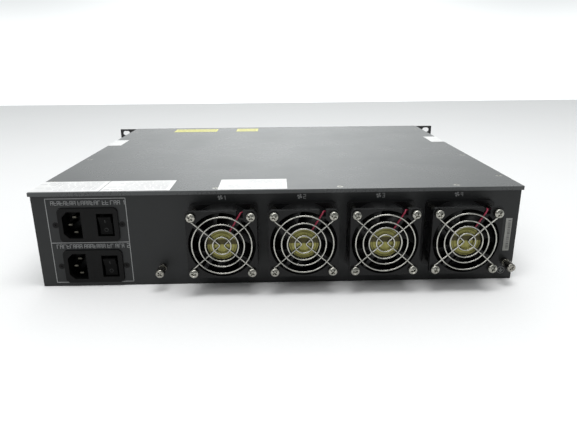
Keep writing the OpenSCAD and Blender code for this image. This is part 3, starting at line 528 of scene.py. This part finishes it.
def carved(solid, cutters):
    """The solid less each cutter in turn, worked at a thousand times the size."""
    body = scaled_object(solid, 1 / MM)
    held = [body]
    for cutter in cutters:
        held.append(scaled_object(cutter, 1 / MM))
        cut = body.modifiers.new("cut", "BOOLEAN")
        cut.operation = "DIFFERENCE"
        cut.solver = "EXACT"
        cut.object = held[-1]
    bpy.context.view_layer.update()
    seen = body.evaluated_get(bpy.context.evaluated_depsgraph_get())
    result = seen.to_mesh()
    made = Solid()
    made.add([v.co * MM for v in result.vertices], [list(f.vertices) for f in result.polygons])
    seen.to_mesh_clear()
    for part in held:
        mesh = part.data
        bpy.data.objects.remove(part)
        bpy.data.meshes.remove(mesh)
    return made


def arc(centre, radius, start, end, steps):
    """Points on a circle in the XZ plane, angles in degrees."""
    return [(centre[0] + radius * math.cos(math.radians(start + (end - start) * k / steps)),
             centre[1] + radius * math.sin(math.radians(start + (end - start) * k / steps)))
            for k in range(steps + 1)]


def smooth_path(points, parts=5):
    """A Catmull-Rom curve through the points."""
    points = [Vector(p) for p in points]
    ends = [2 * points[0] - points[1]] + points + [2 * points[-1] - points[-2]]
    made = []
    for i in range(1, len(ends) - 2):
        a, b, c, d = ends[i - 1:i + 3]
        for k in range(parts):
            t = k / parts
            made.append(0.5 * (2 * b + (c - a) * t + (2 * a - 5 * b + 4 * c - d) * t * t
                               + (3 * b - a - 3 * c + d) * t ** 3))
    return made + [points[-1]]


# ---- Places taken from the CAD model ----

REAR_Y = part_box("rear_panel")[1].y
COVER_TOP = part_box("top_cover")[1].z


def on_rear_panel(name):
    """The middle of a CAD node, moved along Y to the outside face of the rear panel."""
    low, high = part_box(name)
    return Vector(((low.x + high.x) / 2, REAR_Y, (low.z + high.z) / 2))


FAN_CENTRES = [on_rear_panel(f"fan_{k}_frame") for k in range(1, 5)]
FAN_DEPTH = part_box("fan_1_frame")[1].y - REAR_Y
WIRE_R = 0.65 * MM
HEAD_BASE = FAN_DEPTH + 2 * WIRE_R      # a screw head's seat, on the guard's loop
CORNER = 25.0 * MM                      # from a fan's axis to its screws, across and up
AXIS_R = 0.01 * MM                      # the near-zero radius that closes a lathed end


# ---- Fans ----

RING_RADII = (7.7 * MM, 14.0 * MM, 19.0 * MM, 25.4 * MM)
RING_LIFT = 0.9 * MM        # the rings stand this far over the spokes
EYE_R = 2.9 * MM            # a spoke's loop round a screw
EYE_TURN = 318              # degrees that the loop goes round
APEX_X = 1.9 * MM           # the tip of a spoke's bend, from the fan's axis
BEND = ((2.3, 2.6), (1.0, 1.35), (0.35, 0.55), (0.15, 0.0),
        (0.35, -0.55), (1.0, -1.35), (2.3, -2.6))       # a spoke's bend about its apex, in mm


def guard(k):
    """Four rings welded on two bent wires whose ends loop round the screws."""
    wire = Solid()
    centre = FAN_CENTRES[k]
    spoke_y = centre.y + FAN_DEPTH + WIRE_R
    ring_y = spoke_y + RING_LIFT
    for r in RING_RADII:
        ring = [(centre.x + x, ring_y, centre.z + z) for x, z in arc((0, 0), r, 0, 360, 72)]
        wire.sweep(ring[:-1], WIRE_R, 12, loop=True)
    for side in (-1, 1):
        apex = Vector((side * APEX_X, 0.0))
        legs = []
        for up in (1, -1):
            eye = Vector((side * CORNER, up * CORNER))
            away = apex - eye
            angle = math.degrees(math.atan2(away.y, away.x))
            lean = math.degrees(math.acos(EYE_R / away.length))
            turn = side * up
            start = angle + turn * lean
            legs.append(arc(eye, EYE_R, start + turn * EYE_TURN, start, 30))
        bend = [apex + Vector((side * x * MM, z * MM)) for x, z in BEND]
        path = legs[0] + [tuple(p) for p in bend] + legs[1][::-1]
        wire.sweep([(centre.x + x, spoke_y, centre.z + z) for x, z in path], WIRE_R, 12)
    wire.object(f"fan_{k + 1}_wire_guard", "guard_wire", "chassis",
                replaces=[f"fan_{k + 1}_guard"], smooth=60)


CUP_R, CUP_END = 13.2 * MM, 18.5 * MM       # the hub cup, with its end out from the panel
SHAFT_R = 1.5 * MM
BLADES = 7
STATIONS = 9            # sections from a blade's root to its tip
CHORD_STEPS = 8         # points along a section, each side


def rotor(k):
    """A cup with a rounded rim and seven swept, twisted blades."""
    centre = FAN_CENTRES[k]
    low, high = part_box(f"fan_{k + 1}_rotor")
    back, end = low.y - centre.y, CUP_END
    hub_r, tip_r = CUP_R, (high.z - low.z) / 2
    place = Matrix.Translation(centre)
    made = Solid()
    made.lathe([(AXIS_R, back), (hub_r - 1.2 * MM, back), (hub_r - 0.3 * MM, back + 0.4 * MM),
                (hub_r, back + 1.2 * MM), (hub_r, end - 0.4 * MM), (hub_r - 0.3 * MM, end),
                (hub_r - 1.0 * MM, end), (hub_r - 1.0 * MM, back + 1.4 * MM),
                (AXIS_R, back + 1.4 * MM)], 48, place)
    shaft_end = high.y - centre.y
    made.lathe([(AXIS_R, back + 1 * MM), (SHAFT_R, back + 1 * MM), (SHAFT_R, shaft_end),
                (AXIS_R, shaft_end)], 16, place)
    mid = (back + end) / 2
    for blade in range(BLADES):
        sections = []
        for i in range(STATIONS):
            t = i / (STATIONS - 1)
            r = hub_r - 0.5 * MM + t * (tip_r - hub_r + 0.5 * MM)
            pitch = math.radians(47 - 13 * t)
            chord = (15.5 + 7.0 * t) * MM
            thick = (1.7 - 0.8 * t) * MM
            ahead = 0.32 * t ** 1.5
            section = []
            steps = range(CHORD_STEPS + 1)
            for side, order in ((1, steps), (-1, steps[::-1])):
                for j in order:
                    s = j / CHORD_STEPS - 0.5
                    camber = 1.5 * MM * (1 - 4 * s * s)
                    half = side * thick / 2 * math.sqrt(max(0.04, 1 - (2 * s) ** 4))
                    along, across = s * chord, camber + half
                    y = mid + along * math.sin(pitch) + across * math.cos(pitch)
                    arc_length = along * math.cos(pitch) - across * math.sin(pitch)
                    turn = 2 * math.pi * blade / BLADES + arc_length / r + ahead
                    section.append((r * math.cos(turn), y, r * math.sin(turn)))
            sections.append(section)
        made.grid(sections, place=place)
    made.object(f"fan_{k + 1}_impeller", "rotor_plastic", f"fan_{k + 1}_rotor",
                replaces=[f"fan_{k + 1}_rotor"], smooth=45, origin=centre)


def phillips(depth, width, span, level):
    """The two tapered bars of a cross recess, cut down from the XZ plane at the given level."""
    bars = []
    for turn in (45, 135):
        cut = Solid()
        spin = Matrix.Translation((0, level, 0)) @ Matrix.Rotation(math.radians(turn), 4, "Y")
        rings = [[(-w, y, -d), (w, y, -d), (w, y, d), (-w, y, d)]
                 for y, w, d in ((-depth, span * 0.22, width * 0.32), (0, span / 2, width / 2),
                                 (0.6 * MM, span / 2, width / 2))]
        cut.grid(rings, place=spin)
        bars.append(cut)
    return bars


def pan_head(radius, height, reach, shank):
    """A domed head on its shank, head seat at y = 0, with a Phillips recess."""
    dome = [(radius * math.cos(math.radians(a)), height * (0.34 + 0.66 * math.sin(math.radians(a))))
            for a in range(0, 86, 12)]
    profile = [(AXIS_R, -reach), (shank, -reach), (shank, 0), (radius * 0.97, 0),
               (radius, height * 0.08)] + dome + [(AXIS_R, height)]
    head = Solid()
    head.lathe(profile, 32)
    return carved(head, phillips(height * 0.7, 1.3 * MM, radius * 1.25, height))


def fan_screws():
    """Four screws to a fan, each stopped at its own angle."""
    screw = pan_head(3.9 * MM, 2.9 * MM, HEAD_BASE + 6 * MM, 2 * MM)
    rng = random.Random(4)
    made = Solid()
    for centre in FAN_CENTRES:
        for sx in (-1, 1):
            for sz in (-1, 1):
                place = (Matrix.Translation(centre + Vector((sx * CORNER, HEAD_BASE, sz * CORNER)))
                         @ Matrix.Rotation(rng.uniform(0, math.pi / 2), 4, "Y"))
                made.add(screw.points, screw.faces, place)
    made.object("fan_screw_set", "zinc_screw", "chassis", replaces=["fan_screws"], smooth=30)


def hub_stickers():
    """A foil disc on each hub, each with its own origin so that its print is centred."""
    low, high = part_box("fan_hub_labels")
    for k, centre in enumerate(FAN_CENTRES):
        middle = Vector((centre.x, high.y, centre.z))
        radius, back = 12.7 * MM, low.y - high.y
        disc = Solid()
        disc.lathe([(AXIS_R, back), (radius, back), (radius, -0.05 * MM),
                    (radius - 0.1 * MM, 0), (AXIS_R, 0)], 64, Matrix.Translation(middle))
        disc.object(f"fan_{k + 1}_hub_sticker", "hub_label", "chassis", origin=middle,
                    replaces=["fan_hub_labels"] if k == 0 else ())


# A fan lead's route about its fan's centre, in mm: from the hub, over the rim and down inside.
LEAD_ROUTE = [
    (-6.9, 24.2, 11.9), (-8.2, 24.2, 14), (-11, 24.2, 18.7), (-13.5, 24.3, 23),
    (-15.5, 24, 26.2), (-16.4, 22.8, 27.3), (-17.2, 20.5, 27.3), (-18.1, 18.5, 26.8),
    (-20.5, 17, 25), (-22.9, 15, 22.9), (-25, 13, 20.6), (-26.8, 10.5, 18.1),
    (-27.6, 7.5, 16.9), (-27.6, 4.5, 16.9), (-27.6, 0, 16.9), (-27.6, -5, 16.9),
    (-27, -10, 14), (-25.5, -14, 5), (-23, -16, -8), (-20, -20, -20), (-17, -28, -25.5),
    (-17, -35, -26.6), (-17, -39, -28), (-17, -39, -29.3),
]


def leads():
    """The crimson sleeved leads of the four fans."""
    made = Solid()
    for centre in FAN_CENTRES:
        route = smooth_path([Vector(p) * MM for p in LEAD_ROUTE])
        made.sweep(route, 0.7 * MM, 14, place=Matrix.Translation(centre))
    made.object("fan_lead_sleeves", "red_lead", "chassis", replaces=["fan_leads"], smooth=60)


# ---- Thumbscrews ----

KNOB_R = 3.8 * MM
KNOB_START = 7.5 * MM       # the underside of the knob, out from the panel
KNOB_FACE = 17.5 * MM
KNURL_START = 7.9 * MM
KNURL_END = KNOB_FACE - 0.9 * MM
KNURL_ROWS, KNOB_STEPS = 26, 96
KNURLS, KNURL_TWIST, KNURL_DEPTH = 24, 1.9, 0.14 * MM


def knurl_radius(a, y):
    """Two crossing sets of helical ridges."""
    skew = KNURL_TWIST * (y - KNURL_START) / KNOB_R
    ridge = max(math.cos(KNURLS * (a + skew / 2)), math.cos(KNURLS * (a - skew / 2)))
    return KNOB_R - KNURL_DEPTH + KNURL_DEPTH * ridge


def knob_ring(radius_at, y):
    """One ring of the knob, with its radius given by a function of angle and height."""
    angles = [2 * math.pi * k / KNOB_STEPS for k in range(KNOB_STEPS)]
    return [(radius_at(a, y) * math.cos(-a), y, radius_at(a, y) * math.sin(-a)) for a in angles]


def thumbscrew(side):
    """A diamond-knurled knob with a cross recess, its neck and its plain shank."""
    centre = on_rear_panel(f"thumbscrew_{side}")
    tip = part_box(f"thumbscrew_{side}")[0].y - REAR_Y
    shank = [(AXIS_R, tip), (1.6 * MM, tip), (2 * MM, tip + 0.5 * MM), (2 * MM, 4.9 * MM),
             (2.6 * MM, 4.9 * MM), (2.6 * MM, KNOB_START), (KNOB_R - 0.5 * MM, KNOB_START)]
    crown = [(KNOB_R - 0.35 * MM, KNOB_FACE - 0.6 * MM),
             (KNOB_R - 0.75 * MM, KNOB_FACE - 0.12 * MM),
             (KNOB_R - 1.1 * MM, KNOB_FACE), (AXIS_R, KNOB_FACE)]

    def plain(profile):
        return [knob_ring(lambda a, y, r=r: r, y) for r, y in profile]
    heights = [KNURL_START + row / KNURL_ROWS * (KNURL_END - KNURL_START)
               for row in range(KNURL_ROWS + 1)]
    knurled = [knob_ring(knurl_radius, y) for y in heights]
    head = Solid()
    head.grid(plain(shank) + knurled + plain(crown))
    made = carved(head, phillips(1.6 * MM, 1.1 * MM, 4.4 * MM, KNOB_FACE))
    made.points = [p + centre for p in made.points]
    made.object(f"thumbscrew_{side}_knob", "thumb_metal", f"thumbscrew_{side}", smooth=35,
                replaces=[f"thumbscrew_{side}"], origin=centre)


# ---- Labels and print ----

PRINT_T = 0.05 * MM         # thickness of raised ink


def ink_stroke(ink, points, width, level, place):
    """A flat line of ink with square ends through points in the XZ plane, at height level."""
    for a, b in zip(points, points[1:]):
        a, b = Vector(a), Vector(b)
        along = (b - a).normalized()
        across = Vector((-along.y, along.x)) * width / 2
        a, b = a - along * width * 0.3, b + along * width * 0.3
        ink.slab([a - across, b - across, b + across, a + across], level - PRINT_T, level + PRINT_T,
                 place)


SEGMENTS = {
    1: [[(0.5, 0), (0.5, 1)], [(0.2, 0.78), (0.5, 1)]],
    2: [[(0, 1), (1, 1), (1, 0.5), (0, 0.5), (0, 0), (1, 0)]],
    3: [[(0, 1), (1, 1), (1, 0), (0, 0)], [(0.2, 0.5), (1, 0.5)]],
    4: [[(0, 1), (0, 0.4), (1, 0.4)], [(0.75, 1), (0.75, 0)]],
}


def ink_digit(ink, number, x, z, size, width, level, place):
    """A plain digit whose left edge is at x as seen from the rear, where +X is on the left."""
    for stroke in SEGMENTS[number]:
        points = [(x - u * size * 0.55, z + v * size) for u, v in stroke]
        ink_stroke(ink, points, width, level, place)


def greek_row(ink, x, z, words, size, width, level, place, rng):
    """A row of blank letter blocks, grouped in words, running towards -X."""
    for letters in words:
        for _ in range(letters):
            w = size * rng.choice((0.48, 0.55, 0.62))
            shape = rng.randrange(4)
            box = [(x, z), (x, z + size), (x - w, z + size), (x - w, z)]
            if shape == 1:
                ink_stroke(ink, [box[1], box[0], box[3]], width, level, place)
            else:
                ink_stroke(ink, box[:3] if shape == 2 else box, width, level, place)
            if shape != 2:
                ink_stroke(ink, [(x, z + size / 2), (x - w, z + size / 2)], width, level, place)
            x -= w + size * 0.28
        x -= size * 0.35
    return x


def rear_print():
    """Frame lines and marks on the rear panel, as raised silkscreen ink."""
    ink = Solid()
    here = Matrix.Translation((0, REAR_Y, 0))
    left, right = 202.7 * MM, 133.3 * MM
    top, middle, bottom = 82.7 * MM, 41.9 * MM, 3.6 * MM
    line = 0.6 * MM
    ink_stroke(ink, [(left, bottom), (left, top), (right, top), (right, bottom), (left, bottom)],
               line, 0, here)
    ink_stroke(ink, [(left, middle), (right, middle)], line, 0, here)
    rng = random.Random(11)
    for number, z in ((1, 77.0 * MM), (2, 36.7 * MM)):
        x = greek_row(ink, 198 * MM, z, (8, 7, 2, 3), 3.4 * MM, 0.42 * MM, 0, here, rng)
        ink_digit(ink, number, x - 0.8 * MM, z, 3.6 * MM, 0.5 * MM, 0, here)
    for number, centre in enumerate(FAN_CENTRES, 1):
        x, z = centre.x + 2.4 * MM, 81.9 * MM
        for turn in range(0, 360, 90):
            blade = [(x, z)] + arc((x, z), 2.2 * MM, turn, turn + 55, 4)
            ink.slab(blade, -PRINT_T, PRINT_T, here)
        ink_digit(ink, number, x - 3.4 * MM, z - 1.75 * MM, 3.5 * MM, 0.55 * MM, 0, here)
    earth = (-205.2 * MM, 8.4 * MM)
    ink_stroke(ink, arc(earth, 3.2 * MM, 0, 360, 32), 0.45 * MM, 0, here)
    ink_stroke(ink, [(earth[0], earth[1] + 2.2 * MM), earth], 0.5 * MM, 0, here)
    for half, drop in ((1.9, 0.0), (1.25, 0.9), (0.6, 1.8)):
        ink_stroke(ink, [(earth[0] - half * MM, earth[1] - drop * MM),
                         (earth[0] + half * MM, earth[1] - drop * MM)], 0.45 * MM, 0, here)
    ink.object("rear_silk_print", "white_label", "chassis", look="silk_ink", smooth=20)


ROCKER_PIVOT_Y = REAR_Y - 2.5 * MM
ROCKER_REST = 12                        # degrees from level at rest
ROCKER_SLOPE = math.atan2(1.8, 8.6)     # each face's own slope, in radians
ROCKER_FACE = (3.5 * MM, 4.3 * MM)      # a face's middle from the pivot, outwards and upwards


def rocker_marks():
    """The line and the ring on the two faces of each rocker."""
    for k in (1, 2):
        low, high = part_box(f"inlet_{k}_rocker")
        pivot = Vector(((low.x + high.x) / 2, ROCKER_PIVOT_Y, 0))
        pivot.z = sum(c.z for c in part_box(f"inlet_{k}_socket")) / 2
        ink = Solid()
        for up in (1, -1):
            place = (Matrix.Translation(pivot)
                     @ Matrix.Rotation(math.radians(-ROCKER_REST), 4, "X")
                     @ Matrix.Translation((0, ROCKER_FACE[0], up * ROCKER_FACE[1]))
                     @ Matrix.Rotation(-ROCKER_SLOPE * up, 4, "X"))
            if up == 1:
                ink_stroke(ink, [(0, -1.6 * MM), (0, 1.6 * MM)], 0.5 * MM, 0, place)
            else:
                ink_stroke(ink, arc((0, 0), 1.5 * MM, 0, 360, 24), 0.45 * MM, 0, place)
        ink.object(f"inlet_{k}_rocker_marks", "white_label", f"inlet_{k}_rocker", look="rocker_ink",
                   smooth=20)


WORD_GAP = 1.4 * MM                                     # between blank words on the cover
WHITE_CENTRES = (186.2 * MM, 124.8 * MM, 22.3 * MM)     # the three white labels, along X
WHITE_WIDTH = 60.8 * MM
WHITE_LINES, WHITE_PITCH, WHITE_TEXT = 7, 4.2 * MM, 1.1 * MM
YELLOW_WIDTHS = (31.8 * MM, 62.8 * MM)
YELLOW_LINES, YELLOW_PITCH, YELLOW_TEXT = 4, 5 * MM, 1.6 * MM


def cover_stickers():
    """The three white labels near the rear edge, faintly rippled, with blank lines of print."""
    low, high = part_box("cover_labels")
    labels = Solid()
    ink = Solid()
    rng = random.Random(7)
    width, depth = WHITE_WIDTH, high.y - low.y
    columns, rows = 40, 16
    for centre_x in WHITE_CENTRES:
        phase = rng.uniform(0, 6)

        def lift(x, y):
            wave = math.sin(x * 95 + phase) * math.sin(y * 140 + phase * 2)
            return COVER_TOP + (0.10 + 0.025 * wave) * MM
        skin = []
        for i in range(columns + 1):
            x = centre_x - width / 2 + width * i / columns
            lines = [low.y + depth * j / rows for j in range(rows + 1)]
            top = [(x, y, lift(x, y)) for y in lines]
            base = [(x, y, COVER_TOP - 0.02 * MM) for y in reversed(lines)]
            skin.append(top + base)
        labels.grid(skin)
        for line in range(WHITE_LINES):
            y = low.y + 5 * MM + line * WHITE_PITCH
            x = centre_x - width / 2 + 4 * MM
            end = centre_x + width / 2 - rng.uniform(4, 22) * MM
            while x < end:
                run = rng.uniform(3, 9) * MM
                z = COVER_TOP + 0.13 * MM
                ink.block((x, y, z - PRINT_T), (x + run, y + WHITE_TEXT, z))
                x += run + WORD_GAP
    labels.object("cover_label_set", "white_label", "chassis", replaces=["cover_labels"])
    ink.object("cover_label_print", "white_label", "chassis", look="label_ink", smooth=20)


def block_print(ink, x0, x1, y, height, top, rng):
    """A line of blank word blocks lying on a cover label, from x0 to x1."""
    x = x0
    while x < x1 - 2 * MM:
        run = min(rng.uniform(3, 9) * MM, x1 - x)
        ink.block((x, y, top - PRINT_T), (x + run, y + height, top))
        x += run + WORD_GAP


def yellow_stickers():
    """The two yellow labels by the front edge, with blank lines of print."""
    low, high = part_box("yellow_labels")
    labels = Solid()
    ink = Solid()
    rng = random.Random(3)
    top = COVER_TOP + 0.10 * MM
    narrow, wide = YELLOW_WIDTHS
    for x0, x1 in ((low.x, low.x + narrow), (high.x - wide, high.x)):
        labels.block((x0, low.y, COVER_TOP - 0.02 * MM), (x1, high.y, top))
        for line in range(YELLOW_LINES):
            block_print(ink, x0 + 3 * MM, x1 - 3 * MM, low.y + 4 * MM + line * YELLOW_PITCH,
                        YELLOW_TEXT, top + 0.02 * MM, rng)
    labels.object("yellow_label_set", "yellow_label", "chassis", replaces=["yellow_labels"])
    ink.object("yellow_label_print", "yellow_label", "chassis", look="yellow_ink", smooth=20)


def strip_bars():
    """Plain bars of uneven width down the strip label."""
    low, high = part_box("strip_label")
    ink = Solid()
    rng = random.Random(5)
    z = low.z + 2 * MM
    while z < high.z - 2 * MM:
        bar = rng.choice((0.35, 0.5, 0.8)) * MM
        ink.bar(low.x + 0.9 * MM, high.x - 2.2 * MM, z, z + bar, high.y - PRINT_T, high.y + PRINT_T)
        z += bar + rng.choice((0.4, 0.6, 0.9)) * MM
    ink.object("strip_label_bars", "grey_label", "chassis", look="strip_ink", smooth=20)


def front_print():
    """Generic marks on the front panel: a line round the display, level bars and a power symbol."""
    ink = Solid()
    here = Matrix.Translation((0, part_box("front_panel")[0].y, 0))
    low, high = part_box("display_window")
    pad = 3 * MM
    x0, x1, z0, z1 = low.x - pad, high.x + pad, low.z - pad, high.z + pad
    ink_stroke(ink, [(x0, z0), (x1, z0), (x1, z1), (x0, z1), (x0, z0)], 0.5 * MM, 0, here)
    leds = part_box("status_leds")
    middle = (leds[0].x + leds[1].x) / 2
    lowest, pitch = 46.5 * MM, 6.5 * MM
    for k in range(4):
        z = lowest + k * pitch
        ink_stroke(ink, [(middle + 5 * MM, z), (middle + (7.5 + k) * MM, z)], 0.9 * MM, 0, here)
    ink.object("front_silk_print", "white_label", "chassis", look="silk_ink", smooth=20)

    low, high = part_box("power_button")
    symbol = Solid()
    face = Matrix.Translation(((low.x + high.x) / 2, low.y, (low.z + high.z) / 2))
    ink_stroke(symbol, arc((0, 0), 3.4 * MM, -235, 55, 28), 0.7 * MM, 0, face)
    ink_stroke(symbol, [(0, 1.4 * MM), (0, 4.2 * MM)], 0.7 * MM, 0, face)
    symbol.object("power_button_symbol", "white_label", "power_button", look="strip_ink", smooth=20)


# ---- Floor and light ----

def studio_sky():
    """A pale surround: dimmer on the camera's side, with a bright middle behind that grows brighter
    upwards, and a brighter band just over the horizon behind.
    """
    world = bpy.data.worlds.new("studio")
    world.use_nodes = True
    tree = world.node_tree
    sky = tree.nodes["Background"]
    sky.inputs["Color"].default_value = (0.965, 0.995, 1.0, 1.0)
    place = tree.nodes.new("ShaderNodeTexCoord").outputs["Generated"]
    split = tree.nodes.new("ShaderNodeSeparateXYZ")
    tree.links.new(place, split.inputs[0])

    def joined(operation, a, b):
        made = tree.nodes.new("ShaderNodeMath")
        made.operation = operation
        for k, value in enumerate((a, b)):
            if isinstance(value, float):
                made.inputs[k].default_value = value
            else:
                tree.links.new(value, made.inputs[k])
        return made.outputs[0]

    def ramp(value, start, end, low, high):
        made = tree.nodes.new("ShaderNodeMapRange")
        made.interpolation_type = "SMOOTHSTEP"
        tree.links.new(value, made.inputs["Value"])
        for key, number in zip(("From Min", "From Max", "To Min", "To Max"),
                               (start, end, low, high)):
            made.inputs[key].default_value = number
        return made.outputs["Result"]

    # A direction's y is -1 straight behind the object as the camera sees it; its z is 0 level.
    x, y, z = (split.outputs[k] for k in "XYZ")
    surround = ramp(y, -0.6, 0.5, 0.80, 0.34)
    middle = joined("MULTIPLY", ramp(joined("ABSOLUTE", x, 0.0), 0.0, 0.45, 0.50, 0.0),
                    ramp(y, -0.8, -0.4, 1.0, 0.0))
    middle = joined("MULTIPLY", middle, ramp(z, 0.12, 0.28, 1.0, 2.2))
    horizon = joined("MULTIPLY", ramp(z, 0.0, 0.10, 0.40, 0.0), ramp(y, -0.6, -0.3, 1.0, 0.0))
    total = joined("ADD", joined("ADD", surround, middle), horizon)
    tree.links.new(total, sky.inputs["Strength"])
    return world


FLOOR_X, FLOOR_Y = 2.4, 1.5     # half the floor's width and depth
FLOOR_DROP = 0.2 * MM           # keeps the floor clear of the base's own face
SOFTBOXES = (                   # name, place, target, size, power in watts
    ("key_softbox", (0.9, 1.5, 1.3), (0, 0.1, 0.05), (0.8, 0.8), 6.5),
    ("top_softbox", (-0.1, 0.35, 1.6), (0, 0.05, 0.05), (1.3, 0.5), 14.0),
)


def studio():
    """The floor, the surround and two soft lights."""
    mesh = bpy.data.meshes.new("floor")
    mesh.from_pydata([(-FLOOR_X, -FLOOR_Y, 0), (FLOOR_X, -FLOOR_Y, 0), (FLOOR_X, FLOOR_Y, 0),
                      (-FLOOR_X, FLOOR_Y, 0)], [], [[0, 1, 2, 3]])
    mesh.materials.append(mottled("floor_paper", (0.93, 0.93, 0.93), (0.95, 0.95, 0.95), 3.0, 400.0,
                                  (0.8, 0.9), 0.02).material)
    piece = bpy.data.objects.new("floor", mesh)
    piece.location = (0, 0, -FLOOR_DROP)
    bpy.context.scene.collection.objects.link(piece)

    bpy.context.scene.world = studio_sky()
    for name, place, target, size, power in SOFTBOXES:
        data = bpy.data.lights.new(name, "AREA")
        data.shape = "RECTANGLE"
        data.size, data.size_y = size
        data.energy = power
        light = bpy.data.objects.new(name, data)
        light.location = place
        aim = Vector(target) - Vector(place)
        light.rotation_euler = aim.to_track_quat("-Z", "Y").to_euler()
        light.visible_camera = False
        bpy.context.scene.collection.objects.link(light)
    bpy.context.scene.view_settings.view_transform = "Standard"


add_camera()
dress_cad_nodes()
for k in range(4):
    guard(k)
    rotor(k)
fan_screws()
hub_stickers()
leads()
for side in ("left", "right"):
    thumbscrew(side)
rear_print()
rocker_marks()
cover_stickers()
yellow_stickers()
strip_bars()
front_print()
studio()
